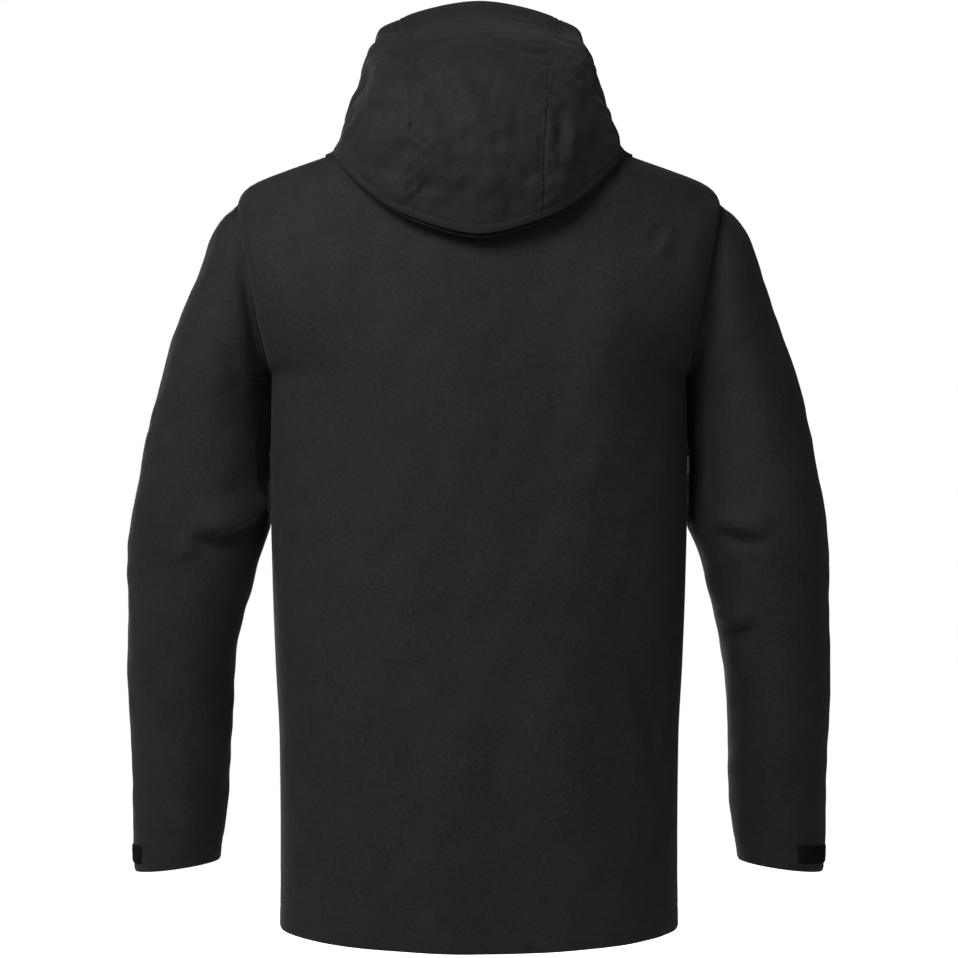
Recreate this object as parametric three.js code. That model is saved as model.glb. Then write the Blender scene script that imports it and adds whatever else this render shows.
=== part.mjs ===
// A long hardshell jacket, size medium, standing as if worn: hood up, zip closed, sleeves hanging.
// Millimetres, +Z up. The wearer faces -Y and the wearer's left hand is on +X.
// The shapes are laid out about the middle of the neck opening, and the whole jacket is then moved so that
// the origin is the top of the hang loop at the back of the neck.
import * as THREE from "three";

// ---------------------------------------------------------------- cloth and clearances
const cloth = 2; // thickness of a sewn panel
const seamGap = 0.8; // between two panels at a seam
const layGap = 0.35; // between a piece and the face that it lies on

// ---------------------------------------------------------------- body sizes
const hemZ = -795; // hem at the side seams and the front
const backDrop = 12; // how much lower the hem hangs at the centre back
const armpitZ = -245;
const armpitX = 207;
const shoulderZ = -73; // shoulder point, the top of the armhole
const shoulderX = 240;
const neckHalfWidth = 75;
const neckDropFront = 72;
const neckDropBack = 12;
const armholeDepth = 64; // half the armhole's front-to-back size
const backFullness = 2.4; // superellipse power of the back's cross-section
const frontFullness = 2.6;
const hemFrontY = 128; // how far the centre front stands forward at the hem
const zipLean = 30 / 800; // how much the centre front comes back for each millimetre up
const zipTopZ = 6; // top of the collar at the centre front

// ---------------------------------------------------------------- front zip
const zipHalfWidth = 9.6; // tape and teeth, from the centre front to the panel edge
const zipSlit = 0.8; // half the gap between the two rows of teeth
const toothWidth = 2.8;
const toothHeight = 4.4;
const tapeHeight = 1.4;
const zipSplitZ = -420; // at the waist: the low slider parks just above, and the lower fronts open up to here
const flapSplitZ = -515; // the storm flap behind the zip is in two lengths, parted here
const cornerHemX = 150; // where the fold of a lower front meets the hem
const foldStrip = 15; // width of the cloth that bends when a lower front is folded back
const cornerGap = 1;
const sliderLength = 16;
const sliderWidth = 13;
const plate = 1.6;
const sliderClearance = 0.4;

// ---------------------------------------------------------------- small helpers
const v3 = (x, y, z) => new THREE.Vector3(x, y, z);
const lerp = THREE.MathUtils.lerp;
const clamp = THREE.MathUtils.clamp;

// A smooth curve y(x) through a few [x, y] stations, with no overshoot between them.
function through(stations) {
  const p = [...stations].sort((a, b) => a[0] - b[0]);
  const slope = p.slice(1).map((q, i) => (q[1] - p[i][1]) / (q[0] - p[i][0]));
  const tangent = p.map((_, i) => {
    if (i === 0) return slope[0];
    if (i === p.length - 1) return slope[i - 1];
    const [a, b] = [slope[i - 1], slope[i]];
    return a * b <= 0 ? 0 : (2 * a * b) / (a + b);
  });
  return (x) => {
    const last = p.length - 2;
    let i = p.findIndex((q) => x < q[0]) - 1;
    if (i === -2) i = last;
    i = clamp(i, 0, last);
    const h = p[i + 1][0] - p[i][0];
    const t = clamp((x - p[i][0]) / h, 0, 1);
    const s = 1 - t;
    return (
      p[i][1] * (1 + 2 * t) * s * s +
      p[i + 1][1] * t * t * (3 - 2 * t) +
      h * t * s * (tangent[i] * s - tangent[i + 1] * t)
    );
  };
}

// A closed solid from a list of points and triangles, turned so that its faces point out.
function solidFrom(points, triangles) {
  let volume = 0;
  for (const [a, b, c] of triangles) volume += points[a].dot(points[b].clone().cross(points[c]));
  const index = triangles.flatMap(([a, b, c]) => (volume < 0 ? [a, c, b] : [a, b, c]));
  const geometry = new THREE.BufferGeometry().setFromPoints(points);
  geometry.setIndex(index);
  geometry.computeVertexNormals();
  return geometry;
}

// A sheet of cloth: point(a, b) is its outer face for a and b from 0 to 1. The inner face lies `thickness` behind it.
// `facing` is 1 or -1, whichever makes the outer face point away from the body. `lift(b)` moves the cloth off the
// surface. A wrapped sheet closes on itself along a.
function sheet(point, across, along, { thickness = cloth, facing = 1, wrap = false, lift = () => 0 } = {}) {
  const columns = wrap ? across : across + 1;
  const column = (i) => (wrap ? (i + columns) % columns : clamp(i, 0, across));
  const at = (i, j) => column(i) * (along + 1) + clamp(j, 0, along);
  const face = [];
  for (let i = 0; i < columns; i++)
    for (let j = 0; j <= along; j++) face.push(point(i / across, j / along));
  const outer = [];
  const inner = [];
  for (let i = 0; i < columns; i++)
    for (let j = 0; j <= along; j++) {
      const du = face[at(i + 1, j)].clone().sub(face[at(i - 1, j)]);
      const dv = face[at(i, j + 1)].clone().sub(face[at(i, j - 1)]);
      const normal = du.cross(dv).normalize().multiplyScalar(facing);
      const p = face[at(i, j)];
      const off = lift(j / along);
      outer.push(p.clone().addScaledVector(normal, off));
      inner.push(p.clone().addScaledVector(normal, off - thickness));
    }
  const points = [...outer, ...inner];
  const back = outer.length;
  const triangles = [];
  const quad = (a, b, c, d) => triangles.push([a, b, c], [a, c, d]);
  const wide = wrap ? columns : across;
  for (let i = 0; i < wide; i++)
    for (let j = 0; j < along; j++) {
      const [a, b, c, d] = [at(i, j), at(i + 1, j), at(i + 1, j + 1), at(i, j + 1)];
      quad(a, b, c, d);
      quad(back + d, back + c, back + b, back + a);
    }
  for (let i = 0; i < wide; i++) {
    quad(at(i + 1, 0), at(i, 0), back + at(i, 0), back + at(i + 1, 0));
    quad(at(i, along), at(i + 1, along), back + at(i + 1, along), back + at(i, along));
  }
  if (!wrap)
    for (let j = 0; j < along; j++) {
      quad(at(0, j), at(0, j + 1), back + at(0, j + 1), back + at(0, j));
      quad(at(across, j + 1), at(across, j), back + at(across, j), back + at(across, j + 1));
    }
  return solidFrom(points, triangles);
}

// Only positions, with one index for each corner, so that a geometry can be mirrored.
function indexed(geometry) {
  geometry.deleteAttribute("uv");
  geometry.deleteAttribute("normal");
  geometry.setIndex([...Array(geometry.attributes.position.count).keys()]);
  geometry.computeVertexNormals();
  return geometry;
}

// The same geometry on the wearer's right.
function mirrored(geometry) {
  const copy = geometry.clone();
  copy.scale(-1, 1, 1);
  const index = [...copy.index.array];
  for (let i = 0; i < index.length; i += 3) [index[i + 1], index[i + 2]] = [index[i + 2], index[i + 1]];
  copy.setIndex(index);
  copy.computeVertexNormals();
  return copy;
}

// ---------------------------------------------------------------- materials
const materials = {
  shell: new THREE.MeshStandardMaterial({ color: 0x232323, roughness: 0.85, metalness: 0 }),
  lining: new THREE.MeshStandardMaterial({ color: 0x2c2e30, roughness: 0.9, metalness: 0 }),
  zip: new THREE.MeshStandardMaterial({ color: 0x161616, roughness: 0.5, metalness: 0 }),
  metal: new THREE.MeshStandardMaterial({ color: 0x2a2a2c, roughness: 0.4, metalness: 0.7 }),
  plastic: new THREE.MeshStandardMaterial({ color: 0x111111, roughness: 0.45, metalness: 0 }),
  hookLoop: new THREE.MeshStandardMaterial({ color: 0x080808, roughness: 1, metalness: 0 }),
  cord: new THREE.MeshStandardMaterial({ color: 0x1a1a1a, roughness: 0.8, metalness: 0 }),
};

const jacket = new THREE.Group();

function add(name, geometry, material) {
  const mesh = new THREE.Mesh(geometry, materials[material]);
  mesh.name = name;
  jacket.add(mesh);
  return mesh;
}

function addPair(name, geometry, material) {
  add(name + "_left", geometry, material);
  add(name + "_right", mirrored(geometry), material);
}

// ---------------------------------------------------------------- the body's surface
const armholeMidZ = (armpitZ + shoulderZ) / 2;
const armholeHalfHeight = (shoulderZ - armpitZ) / 2;

// The armhole lies in a straight plane from the armpit to the shoulder point.
const armholeX = (z) => lerp(armpitX, shoulderX, (z - armpitZ) / (shoulderZ - armpitZ));
const planeStations = [armpitZ + 8, armholeMidZ, shoulderZ - 8].map((z) => [z, armholeX(z)]);

// Half the body's width at each height: side seam, then armhole, then the shoulder line up to the neck.
const edgeX = through([
  [hemZ - backDrop, 199],
  [-710, 198],
  [-610, 199],
  [-530, 203],
  [-450, 206],
  [-350, 208],
  [armpitZ, armpitX],
  ...planeStations,
  [shoulderZ, shoulderX],
  [-62, 234],
  [-54, 222],
  [-46, 202],
  [-30, 157],
  [0, neckHalfWidth],
]);
const frontLineY = (z) => hemFrontY - zipLean * (z - hemZ);
const backDepth = through([
  [hemZ - backDrop, 115],
  [-600, 116],
  [-400, 118],
  [-250, 120],
  [-150, 112],
  [-80, 100],
  [-30, 84],
  [-neckDropBack, 72],
  [0, 58],
]);
const yokeDepth = through([
  [-neckDropFront, frontLineY(-neckDropFront)],
  [-50, 93],
  [-30, 80],
  [-15, 64],
  [0, 45],
]);
const frontDepth = (z) => (z < -neckDropFront ? frontLineY(z) : yokeDepth(z));

// How far the armhole's edge stands from the middle plane at a height; 0 along the side seam and shoulder line.
function edgeY(z) {
  const t = (z - armholeMidZ) / armholeHalfHeight;
  return Math.abs(t) < 1 ? armholeDepth * Math.sqrt(1 - t * t) : 0;
}

// A point of the body's outer face at height z and sideways place x. side is 1 for the back and -1 for the front.
function bodyPoint(side, x, z) {
  const edge = edgeX(z);
  const power = side > 0 ? backFullness : frontFullness;
  const deep = side > 0 ? backDepth(z) : frontDepth(z);
  const inset = edgeY(z) + seamGap / 2;
  const share = clamp(Math.abs(x) / edge, 0, 1);
  const y = inset + (deep - inset) * Math.pow(1 - Math.pow(share, power), 1 / power);
  return v3(x, side * y, z);
}

const neckDrop = (side) => (side > 0 ? neckDropBack : neckDropFront);
const neckX = (side, z) => neckHalfWidth * Math.sqrt(Math.max(0, 1 - (z / neckDrop(side)) ** 2));

// The height at which a column of the panel meets the neckline. xAt(z) is the column's sideways place.
function topOfColumn(side, xAt) {
  let [low, high] = [-neckDrop(side), 0];
  for (let i = 0; i < 40; i++) {
    const z = (low + high) / 2;
    if (Math.abs(xAt(z)) > neckX(side, z)) low = z;
    else high = z;
  }
  return (low + high) / 2;
}

// The place round the neck, in degrees from the centre front, where the column at share u meets the neckline.
function neckTurn(side, u) {
  const z = topOfColumn(side, (height) => edgeX(height) * Math.sin((u * Math.PI) / 2));
  const turn = THREE.MathUtils.radToDeg(Math.acos(clamp(-z / neckDrop(side), 0, 1)));
  return side > 0 ? 180 - turn : turn;
}

// The height of the shoulders' outer face at a place seen from above, and of the neckline inside it.
function shoulderHeight(x, y) {
  const side = y > 0 ? 1 : -1;
  let [low, high] = [-230, 0];
  for (let i = 0; i < 40; i++) {
    const z = (low + high) / 2;
    if (Math.abs(x) < edgeX(z) && Math.abs(bodyPoint(side, x, z).y) > Math.abs(y)) low = z;
    else high = z;
  }
  return low;
}

const hemAt = (side, share) => (side > 0 ? hemZ - backDrop * (1 - share * share) : hemZ);
const rowSpacing = (v) => 1 - Math.pow(1 - v, 1.7); // closer rows towards the shoulders

// A body panel between two sideways places, given as shares 0..1 of the quarter turn from centre to side.
function bodyPanel(side, from, to, across, along) {
  return sheet(
    (a, b) => {
      const xAt = (z) => {
        const u = lerp(from(z), to(z), a);
        return edgeX(z) * Math.sin((u * Math.PI) / 2);
      };
      const low = hemAt(side, Math.abs(xAt(hemZ)) / edgeX(hemZ));
      const z = lerp(low, topOfColumn(side, xAt), rowSpacing(b));
      return bodyPoint(side, xAt(z), z);
    },
    across,
    along,
    { facing: -side },
  );
}

// The share of the quarter turn at which the surface stands at sideways place x.
const shareAt = (x, z) => (Math.asin(clamp(x / edgeX(z), -1, 1)) * 2) / Math.PI;

// ---------------------------------------------------------------- back and fronts
const backColumns = 20;
const frontColumns = 12;
add("back_panel", bodyPanel(1, () => -1, () => 1, backColumns, 22), "shell");

const panelEdgeX = zipHalfWidth + layGap;
// The fold of a lower front runs down and out from the centre front to the hem.
const foldX = (z) => panelEdgeX + ((cornerHemX - panelEdgeX) * Math.max(0, zipSplitZ - z)) / (zipSplitZ - hemZ);
addPair(
  "front_panel",
  bodyPanel(-1, (z) => shareAt(foldX(z), z), () => 1, frontColumns, 26),
  "shell",
);
function frontPiece(innerX, outerX, lowZ, highZ, across, along) {
  const point = (a, b) => {
    const z = lerp(lowZ, highZ, b);
    return bodyPoint(-1, lerp(innerX(z), outerX(z), a), z);
  };
  return sheet(point, across, along, { facing: 1 });
}
const cornerWidth = 1.5; // the corner's width at its top
const heightOfFold = (x) => zipSplitZ - ((x - panelEdgeX) * (zipSplitZ - hemZ)) / (cornerHemX - panelEdgeX);
const cornerTopZ = heightOfFold(panelEdgeX + cornerWidth + foldStrip + cornerGap);
addPair(
  "front_corner",
  frontPiece(() => panelEdgeX, (z) => foldX(z) - foldStrip - cornerGap, hemZ, cornerTopZ, 5, 14),
  "shell",
);
// The strip that bends. Above the corner it narrows into the point of the opening.
const stripTopZ = heightOfFold(panelEdgeX + cornerWidth + cornerGap);
const stripInnerX = (z) => Math.max(panelEdgeX, foldX(z) - foldStrip);
addPair(
  "front_fold",
  frontPiece(stripInnerX, (z) => foldX(z) - cornerGap, hemZ, stripTopZ, 2, 18),
  "shell",
);

// ---------------------------------------------------------------- hem: inner facing and the cord inside it
const hemHeight = 22;
const facingThickness = 1;
const cordRadius = 1.5;
const hemPocket = 2 * cordRadius + 2; // room between the panel and the facing for the cord
const facingFrom = 0.86; // the facing and its cord stop this share of the quarter turn short of the side seams
add(
  "hem_facing_back",
  sheet(
    (a, b) => {
      const x = edgeX(hemZ) * Math.sin((lerp(-facingFrom, facingFrom, a) * Math.PI) / 2);
      const z = hemAt(1, Math.abs(x) / edgeX(hemZ)) + 1 + b * hemHeight;
      return bodyPoint(1, x, z);
    },
    backColumns,
    4,
    {
      facing: -1,
      thickness: facingThickness,
      lift: (b) => -cloth - 2 * layGap - hemPocket * Math.sin(Math.PI * b),
    },
  ),
  "lining",
);

class HemCordPath extends THREE.Curve {
  getPoint(t, target = new THREE.Vector3()) {
    const x = edgeX(hemZ) * Math.sin((lerp(-facingFrom, facingFrom, t) * Math.PI) / 2);
    const z = hemAt(1, Math.abs(x) / edgeX(hemZ)) + hemHeight / 2;
    const p = bodyPoint(1, x, z);
    const side = bodyPoint(1, x + 1, z).sub(bodyPoint(1, x - 1, z)).normalize();
    const inward = v3(side.y, -side.x, 0).multiplyScalar(cloth + hemPocket / 2 + layGap);
    return target.copy(p.add(inward));
  }
}
const round = (radius, sides) => {
  const shape = new THREE.Shape();
  for (let i = 0; i < sides; i++) {
    const angle = (i / sides) * 2 * Math.PI;
    const [x, y] = [radius * Math.cos(angle), radius * Math.sin(angle)];
    if (i) shape.lineTo(x, y);
    else shape.moveTo(x, y);
  }
  shape.closePath();
  return shape;
};
add(
  "hem_drawcord",
  new THREE.ExtrudeGeometry(round(cordRadius, 8), { steps: 48, extrudePath: new HemCordPath(), bevelEnabled: false }),
  "cord",
);

// ---------------------------------------------------------------- collar
const collarHeightBack = 46;
const collarRadius = 66; // at its top
const collarBackY = 64;
const collarRise = 1.4; // between the neckline and the collar, up
const collarInset = 1.2; // and towards the neck
const outward = (p) => v3(p.x, p.y * 0.8, 0).normalize();
// turn is 0 at the centre front, 90 at the side of the neck and 180 at the centre back.
function neckline(turn) {
  const angle = THREE.MathUtils.degToRad(turn);
  const side = turn < 90 ? -1 : 1;
  return bodyPoint(side, neckHalfWidth * Math.sin(angle), -neckDrop(side) * Math.abs(Math.cos(angle)));
}
function collarPoint(turn, up) {
  const angle = THREE.MathUtils.degToRad(turn);
  const low = neckline(turn);
  low.addScaledVector(outward(low), -collarInset * Math.sin(angle));
  low.z += collarRise;
  const front = ((1 + Math.cos(angle)) / 2) ** 1.5;
  const topFrontY = frontLineY(zipTopZ);
  const high = v3(
    collarRadius * Math.sin(angle),
    (collarBackY - topFrontY) / 2 - ((collarBackY + topFrontY) / 2) * Math.cos(angle),
    lerp(collarHeightBack, zipTopZ, front),
  );
  const bulge = 3 * Math.sin(Math.PI * up);
  const p = low.lerp(high, up);
  p.addScaledVector(outward(p), bulge * Math.min(1, Math.sin(angle) * 3));
  if (turn < 90) p.x = Math.max(p.x, panelEdgeX);
  return p;
}
// The collar's columns meet the neckline where the panels' columns do.
const neckTurns = [];
for (let i = 0; i <= frontColumns; i++) {
  const start = shareAt(panelEdgeX, -neckDropFront);
  neckTurns.push(neckTurn(-1, lerp(start, 1, i / frontColumns)));
}
for (let i = backColumns / 2 - 1; i >= 0; i--) neckTurns.push(neckTurn(1, (2 * i) / backColumns));
const aroundNeck = [...neckTurns, ...neckTurns.slice(0, -1).reverse().map((turn) => 360 - turn)];
function onBothSides(point, turn) {
  const p = point(turn > 180 ? 360 - turn : turn);
  if (turn > 180) p.x = -p.x;
  return p;
}
add(
  "collar",
  sheet(
    (a, b) => onBothSides((turn) => collarPoint(turn, b), aroundNeck[Math.round(a * (aroundNeck.length - 1))]),
    aroundNeck.length - 1,
    4,
    { facing: -1 },
  ),
  "shell",
);

// ---------------------------------------------------------------- hang loop inside the back of the collar
const loopHalfWidth = 26;
const loopStand = 9; // room behind the tape for a hook
const loopTape = 1.4;
const loopHeight = 9;
const loopZ = 6;
const loopUp = (loopZ + neckDropBack) / (collarHeightBack + neckDropBack);
const loopTurn = 180 - THREE.MathUtils.radToDeg(Math.asin((loopHalfWidth + loopTape) / collarPoint(90, loopUp).x));
const collarInsideY = collarPoint(loopTurn, loopUp).y - cloth;
const loopShape = new THREE.Shape();
const loopCurve = (x, extra) => -(loopStand + extra) * Math.cos((x / loopHalfWidth) * (Math.PI / 2)) ** 0.6;
const loopSteps = 12;
for (let i = 0; i <= loopSteps; i++) {
  const x = lerp(-loopHalfWidth, loopHalfWidth, i / loopSteps);
  if (i) loopShape.lineTo(x, loopCurve(x, 0));
  else loopShape.moveTo(x, loopCurve(x, 0));
}
for (let i = loopSteps; i >= 0; i--) {
  const x = lerp(-loopHalfWidth - loopTape, loopHalfWidth + loopTape, i / loopSteps);
  loopShape.lineTo(x, loopCurve((x * loopHalfWidth) / (loopHalfWidth + loopTape), loopTape));
}
loopShape.closePath();
const loopY = collarInsideY + 2 * layGap;
const hangLoop = add(
  "hang_loop",
  new THREE.ExtrudeGeometry(loopShape, { depth: loopHeight, bevelEnabled: false }),
  "lining",
);
hangLoop.position.set(0, loopY, loopZ - loopHeight);

// ---------------------------------------------------------------- hood surface
// Seven arches from the face opening back to the lower edge. Each runs from the side of the neck (first point)
// over the cheek, the corner and the lengthwise seam to the top of the arch.
const hoodRest = 7; // the hood's lower edge clears the shoulders by this
const onShoulder = (x, y) => [x, y, shoulderHeight(x, y) + hoodRest];
const hoodArches = [
  [onShoulder(80, -58), [101, -96, 20], [107, -108, 111], [83, -112, 127], [0, -115, 144]],
  [onShoulder(98, -44), [118, -62, 22], [109, -66, 92], [78, -73, 109], [0, -78, 125]],
  [onShoulder(114, -28), [129, -20, 20], [108, -14, 82], [73, -21, 97], [0, -24, 110]],
  [onShoulder(130, -8), [134, 28, 12], [105, 48, 58], [69, 52, 73], [0, 58, 84]],
  [onShoulder(142, 12), [136, 66, -6], [101, 102, 18], [66, 118, 27], [0, 128, 34]],
  [onShoulder(149, 30), [137, 82, -30], [99, 118, -40], [63, 138, -38], [0, 147, -36]],
  [onShoulder(150, 38), [135, 86, -44], [99, 112, -78], [61, 124, -99], [0, 130, -114]],
];
const archCount = hoodArches.length - 1;
const archPoints = 8; // intervals across a whole arch, left base to right base
const hoodLines = [];
for (let c = 0; c <= archPoints; c++)
  hoodLines.push(
    new THREE.CatmullRomCurve3(
      hoodArches.map((arch) => {
        const [x, y, z] = arch[Math.min(c, archPoints - c)];
        return v3(c > archPoints / 2 ? -x : x, y, z);
      }),
      false,
      "catmullrom",
      0.5,
    ),
  );
function hoodPoint(back, across) {
  const arch = hoodLines.map((line) => line.getPoint(back / archCount));
  return new THREE.CatmullRomCurve3(arch, false, "catmullrom", 0.5).getPoint(across / archPoints);
}
const hoodPanel = (fromBack, toBack, fromAcross, toAcross, along, across) =>
  sheet((a, b) => hoodPoint(lerp(fromBack, toBack, b), lerp(fromAcross, toAcross, a)), across, along, {
    facing: 1,
  });
const seamAcross = 3; // the lengthwise seams run along this point of each arch
const cheekAcross = 0.8; // the cheeks stay on the collar below this
const hoodSplit = 2; // arches in front of this swing back with the hood
const gapBack = 0.012;
const gapAcross = 0.006;
addPair(
  "hood_front",
  hoodPanel(0, hoodSplit - gapBack, cheekAcross + 2 * gapAcross, seamAcross - 2 * gapAcross, 5, 6),
  "shell",
);
add(
  "hood_front_centre",
  hoodPanel(0, hoodSplit - gapBack, seamAcross, archPoints - seamAcross, 5, 8),
  "shell",
);
addPair("hood_cheek", hoodPanel(0, hoodSplit - gapBack, 0, cheekAcross, 5, 2), "shell");
addPair(
  "hood_back",
  hoodPanel(hoodSplit, archCount, 0, seamAcross - 2 * gapAcross, 10, 7),
  "shell",
);
add(
  "hood_back_centre",
  hoodPanel(hoodSplit, archCount, seamAcross, archPoints - seamAcross, 10, 8),
  "shell",
);

// The band that turns under the hood's lower edge and runs over the shoulders to the neck seam.
const bandThickness = 1.2;
const bandClear = 3; // between the shoulders and the band's upper face, at its outer edge
const bandRise = 2; // and this much more further in
const bandStart = 50; // degrees round the neck, from the centre front
const bandInset = cloth + 4 * layGap;
const bandDrop = 3.4; // its outer edge is tucked below the hood's edge by this
const neckStandOff = 3.1;
// The hood's lower edge, left side, rear and right side, as t goes from 0 to 1.
function hoodEdge(t) {
  const sideShare = 0.3;
  if (t < sideShare) return hoodPoint((t / sideShare) * archCount, 0);
  if (t > 1 - sideShare) return hoodPoint(((1 - t) / sideShare) * archCount, archPoints);
  return hoodPoint(archCount, ((t - sideShare) / (1 - 2 * sideShare)) * archPoints);
}
function bandPoint(t, b) {
  const neck = onBothSides(neckline, lerp(bandStart, 360 - bandStart, t));
  neck.addScaledVector(outward(neck), neckStandOff);
  const edge = hoodEdge(t);
  const inward = v3(neck.x - edge.x, neck.y - edge.y, 0).normalize();
  edge.addScaledVector(inward, bandInset);
  edge.z -= bandDrop;
  const p = edge.lerp(neck, b);
  p.z = Math.max(p.z, shoulderHeight(p.x, p.y) + bandClear) + bandRise * Math.min(1, 3 * b);
  return p;
}
add("hood_neck_band", sheet(bandPoint, 40, 7, { facing: 1, thickness: bandThickness }), "shell");

// The stiff peak inside the front edge of the hood.
const peakDepth = 0.55; // how far back it reaches, in arches
const peakAcross = 2.3; // and from which point of the arch
const peakThickness = 1;
add(
  "hood_peak_stiffener",
  sheet(
    (a, b) => hoodPoint(lerp(0.04, peakDepth, b), lerp(peakAcross, archPoints - peakAcross, a)),
    14,
    2,
    { facing: 1, thickness: peakThickness, lift: () => peakThickness + 3 * layGap },
  ),
  "plastic",
);

// ---------------------------------------------------------------- sleeves
// Stations down the left sleeve: [outer x, outer z, inner x, inner z, half depth, middle y].
// The first is the armhole, and the next ones fan out about the armpit.
const sleeveStations = [
  [shoulderX + 1.2, shoulderZ, armpitX + 1.2, armpitZ - 1, armholeDepth, 0],
  [263, -100, 208.6, -249, 69, 0],
  [287, -157, 209.5, -253, 72, 0],
  [305, -210, 210.5, -257, 73, 0],
  [319, -256, 212, -262, 72, 0],
  [338, -335, 215, -335, 69, 2],
  [347, -386, 213, -386, 67, 3],
  [351, -450, 225, -446, 63, -2],
  [352, -530, 243, -524, 58, -12],
  [351, -620, 250, -613, 54, -26],
  [350, -700, 257, -692, 50, -37],
  [349, -745, 262, -734, 48, -42],
];
const sleeveParts = [0, 1, 2, 3, 4, 5].map((part) => through(sleeveStations.map((s, i) => [i, s[part]])));
// A point of the sleeve: turn is 0 on the outside, 90 at the back, 180 on the inside and 270 at the front.
function sleevePoint(station, turn) {
  const [outX, outZ, inX, inZ, deep, midY] = sleeveParts.map((part) => part(station));
  const angle = THREE.MathUtils.degToRad(turn);
  const reach = Math.cos(angle) / 2;
  return v3(
    (outX + inX) / 2 + (outX - inX) * reach,
    midY + deep * Math.sin(angle),
    (outZ + inZ) / 2 + (outZ - inZ) * reach,
  );
}
const sleeveTube = (from, to, along, around = 18) =>
  sheet((a, b) => sleevePoint(lerp(from, to, b), a * 360), around, along, { facing: -1, wrap: true });
const headEnd = 4;
const elbowTop = 5.75;
const elbowEnd = 7.25;
const cuffEnd = sleeveStations.length - 1;
const ringGap = 0.01;
addPair("sleeve_head", sleeveTube(0, headEnd, 6), "shell");
addPair("upper_sleeve", sleeveTube(headEnd + ringGap, elbowTop, 3), "shell");
addPair("elbow_section", sleeveTube(elbowTop + ringGap, elbowEnd, 3), "shell");
addPair("forearm_sleeve", sleeveTube(elbowEnd + ringGap, cuffEnd, 7), "shell");

// ---------------------------------------------------------------- cuff: loop patch and closing tab
const patchThickness = 1.5;
const tabThickness = 1.8;
const patchTop = 10.35;
const patchBottom = 10.8;
const patchFront = -70; // degrees round the cuff, from the outside towards the front
const patchBack = { left: 42, right: 72 }; // towards the back
for (const hand of ["left", "right"]) {
  const geometry = sheet(
    (a, b) => sleevePoint(lerp(patchTop, patchBottom, b), lerp(patchFront, patchBack[hand], a)),
    10,
    1,
    { facing: -1, thickness: patchThickness, lift: () => patchThickness + layGap },
  );
  add("cuff_loop_patch_" + hand, hand === "left" ? geometry : mirrored(geometry), "hookLoop");
}
const tabSewn = -150;
const tabTip = -18;
const tabLift = (turn) => layGap + (patchThickness + layGap) * clamp((turn - tabSewn) / 45, 0, 1);
addPair(
  "cuff_tab",
  sheet(
    (a, b) => {
      const turn = lerp(tabSewn, tabTip, a);
      const tip = Math.sqrt(Math.max(0, 1 - Math.max(0, (a - 0.88) / 0.12) ** 2 * 0.75));
      const station = lerp(patchTop, patchBottom, 0.5 + (b - 0.5) * 1.1 * tip);
      const p = sleevePoint(station, turn);
      const out = p.clone().sub(sleevePoint(station, turn + 180)).setZ(0).normalize();
      return p.addScaledVector(out, tabLift(turn) + tabThickness);
    },
    14,
    1,
    { facing: -1, thickness: tabThickness },
  ),
  "plastic",
);

// ---------------------------------------------------------------- front zip halves
const zipAngle = Math.atan(zipLean);
const zipPlace = (z) => v3(0, -frontLineY(z), z);

// A section extruded along the centre front between two heights. Its second coordinate runs back from the cloth's face.
function alongZip(outline, lowZ, highZ) {
  const shape = new THREE.Shape(outline.map(([x, y]) => new THREE.Vector2(x, y)));
  const geometry = new THREE.ExtrudeGeometry(shape, {
    depth: (highZ - lowZ) / Math.cos(zipAngle),
    bevelEnabled: false,
  });
  const low = zipPlace(lowZ);
  geometry.rotateX(-zipAngle);
  geometry.translate(0, low.y, low.z);
  return indexed(geometry);
}

// One half of the zip: thin tape towards the panel, thick teeth towards the middle.
function zipHalf(lowZ, highZ) {
  const toothEnd = zipSlit + toothWidth;
  const middle = tapeHeight / 2;
  const outline = [
    [zipSlit, middle - toothHeight / 2],
    [toothEnd, middle - toothHeight / 2],
    [toothEnd, 0],
    [zipHalfWidth, 0],
    [zipHalfWidth, tapeHeight],
    [toothEnd, tapeHeight],
    [toothEnd, middle + toothHeight / 2],
    [zipSlit, middle + toothHeight / 2],
  ];
  return alongZip(outline, lowZ, highZ);
}
const zipStopHeight = 5;
const splitGap = 0.5; // the upper halves end this far above the opening
const lowerZipDrop = 3.5; // and the lower halves start this far below it, clear of the panels as they swing
const zipHemRise = 2; // the zip ends this far above the hem
addPair("zip_half_upper", zipHalf(zipSplitZ + splitGap, zipTopZ - zipStopHeight), "zip");
addPair("zip_half_lower", zipHalf(hemZ + zipHemRise, zipSplitZ - lowerZipDrop), "zip");

// The cloth strip behind the zip keeps the wind out. It is sewn behind the left half.
const stormReach = 5.5; // past the centre front, behind the right half
const stormSewn = [18, 22]; // its fold is sewn to the left front between these
const stormThickness = 1.2;
const stormBack = tapeHeight / 2 + toothHeight / 2 + plate + 3 * sliderClearance; // its front face, behind the cloth's
function stormFlap(lowZ, highZ) {
  const outline = [
    [-stormReach, stormBack],
    [stormSewn[0], stormBack],
    [stormSewn[0], cloth + 2 * layGap],
    [stormSewn[1], cloth + 2 * layGap],
    [stormSewn[1], stormBack + stormThickness],
    [-stormReach, stormBack + stormThickness],
  ];
  return alongZip(outline, lowZ, highZ);
}
const flapGap = 5; // from the parting to each length of the flap
const flapBelowNeck = 6;
const flapAboveHem = 8;
add("storm_flap_upper", stormFlap(flapSplitZ + flapGap, -neckDropFront - flapBelowNeck), "lining");
add("storm_flap_lower", stormFlap(hemZ + flapAboveHem, flapSplitZ - flapGap), "lining");

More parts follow.
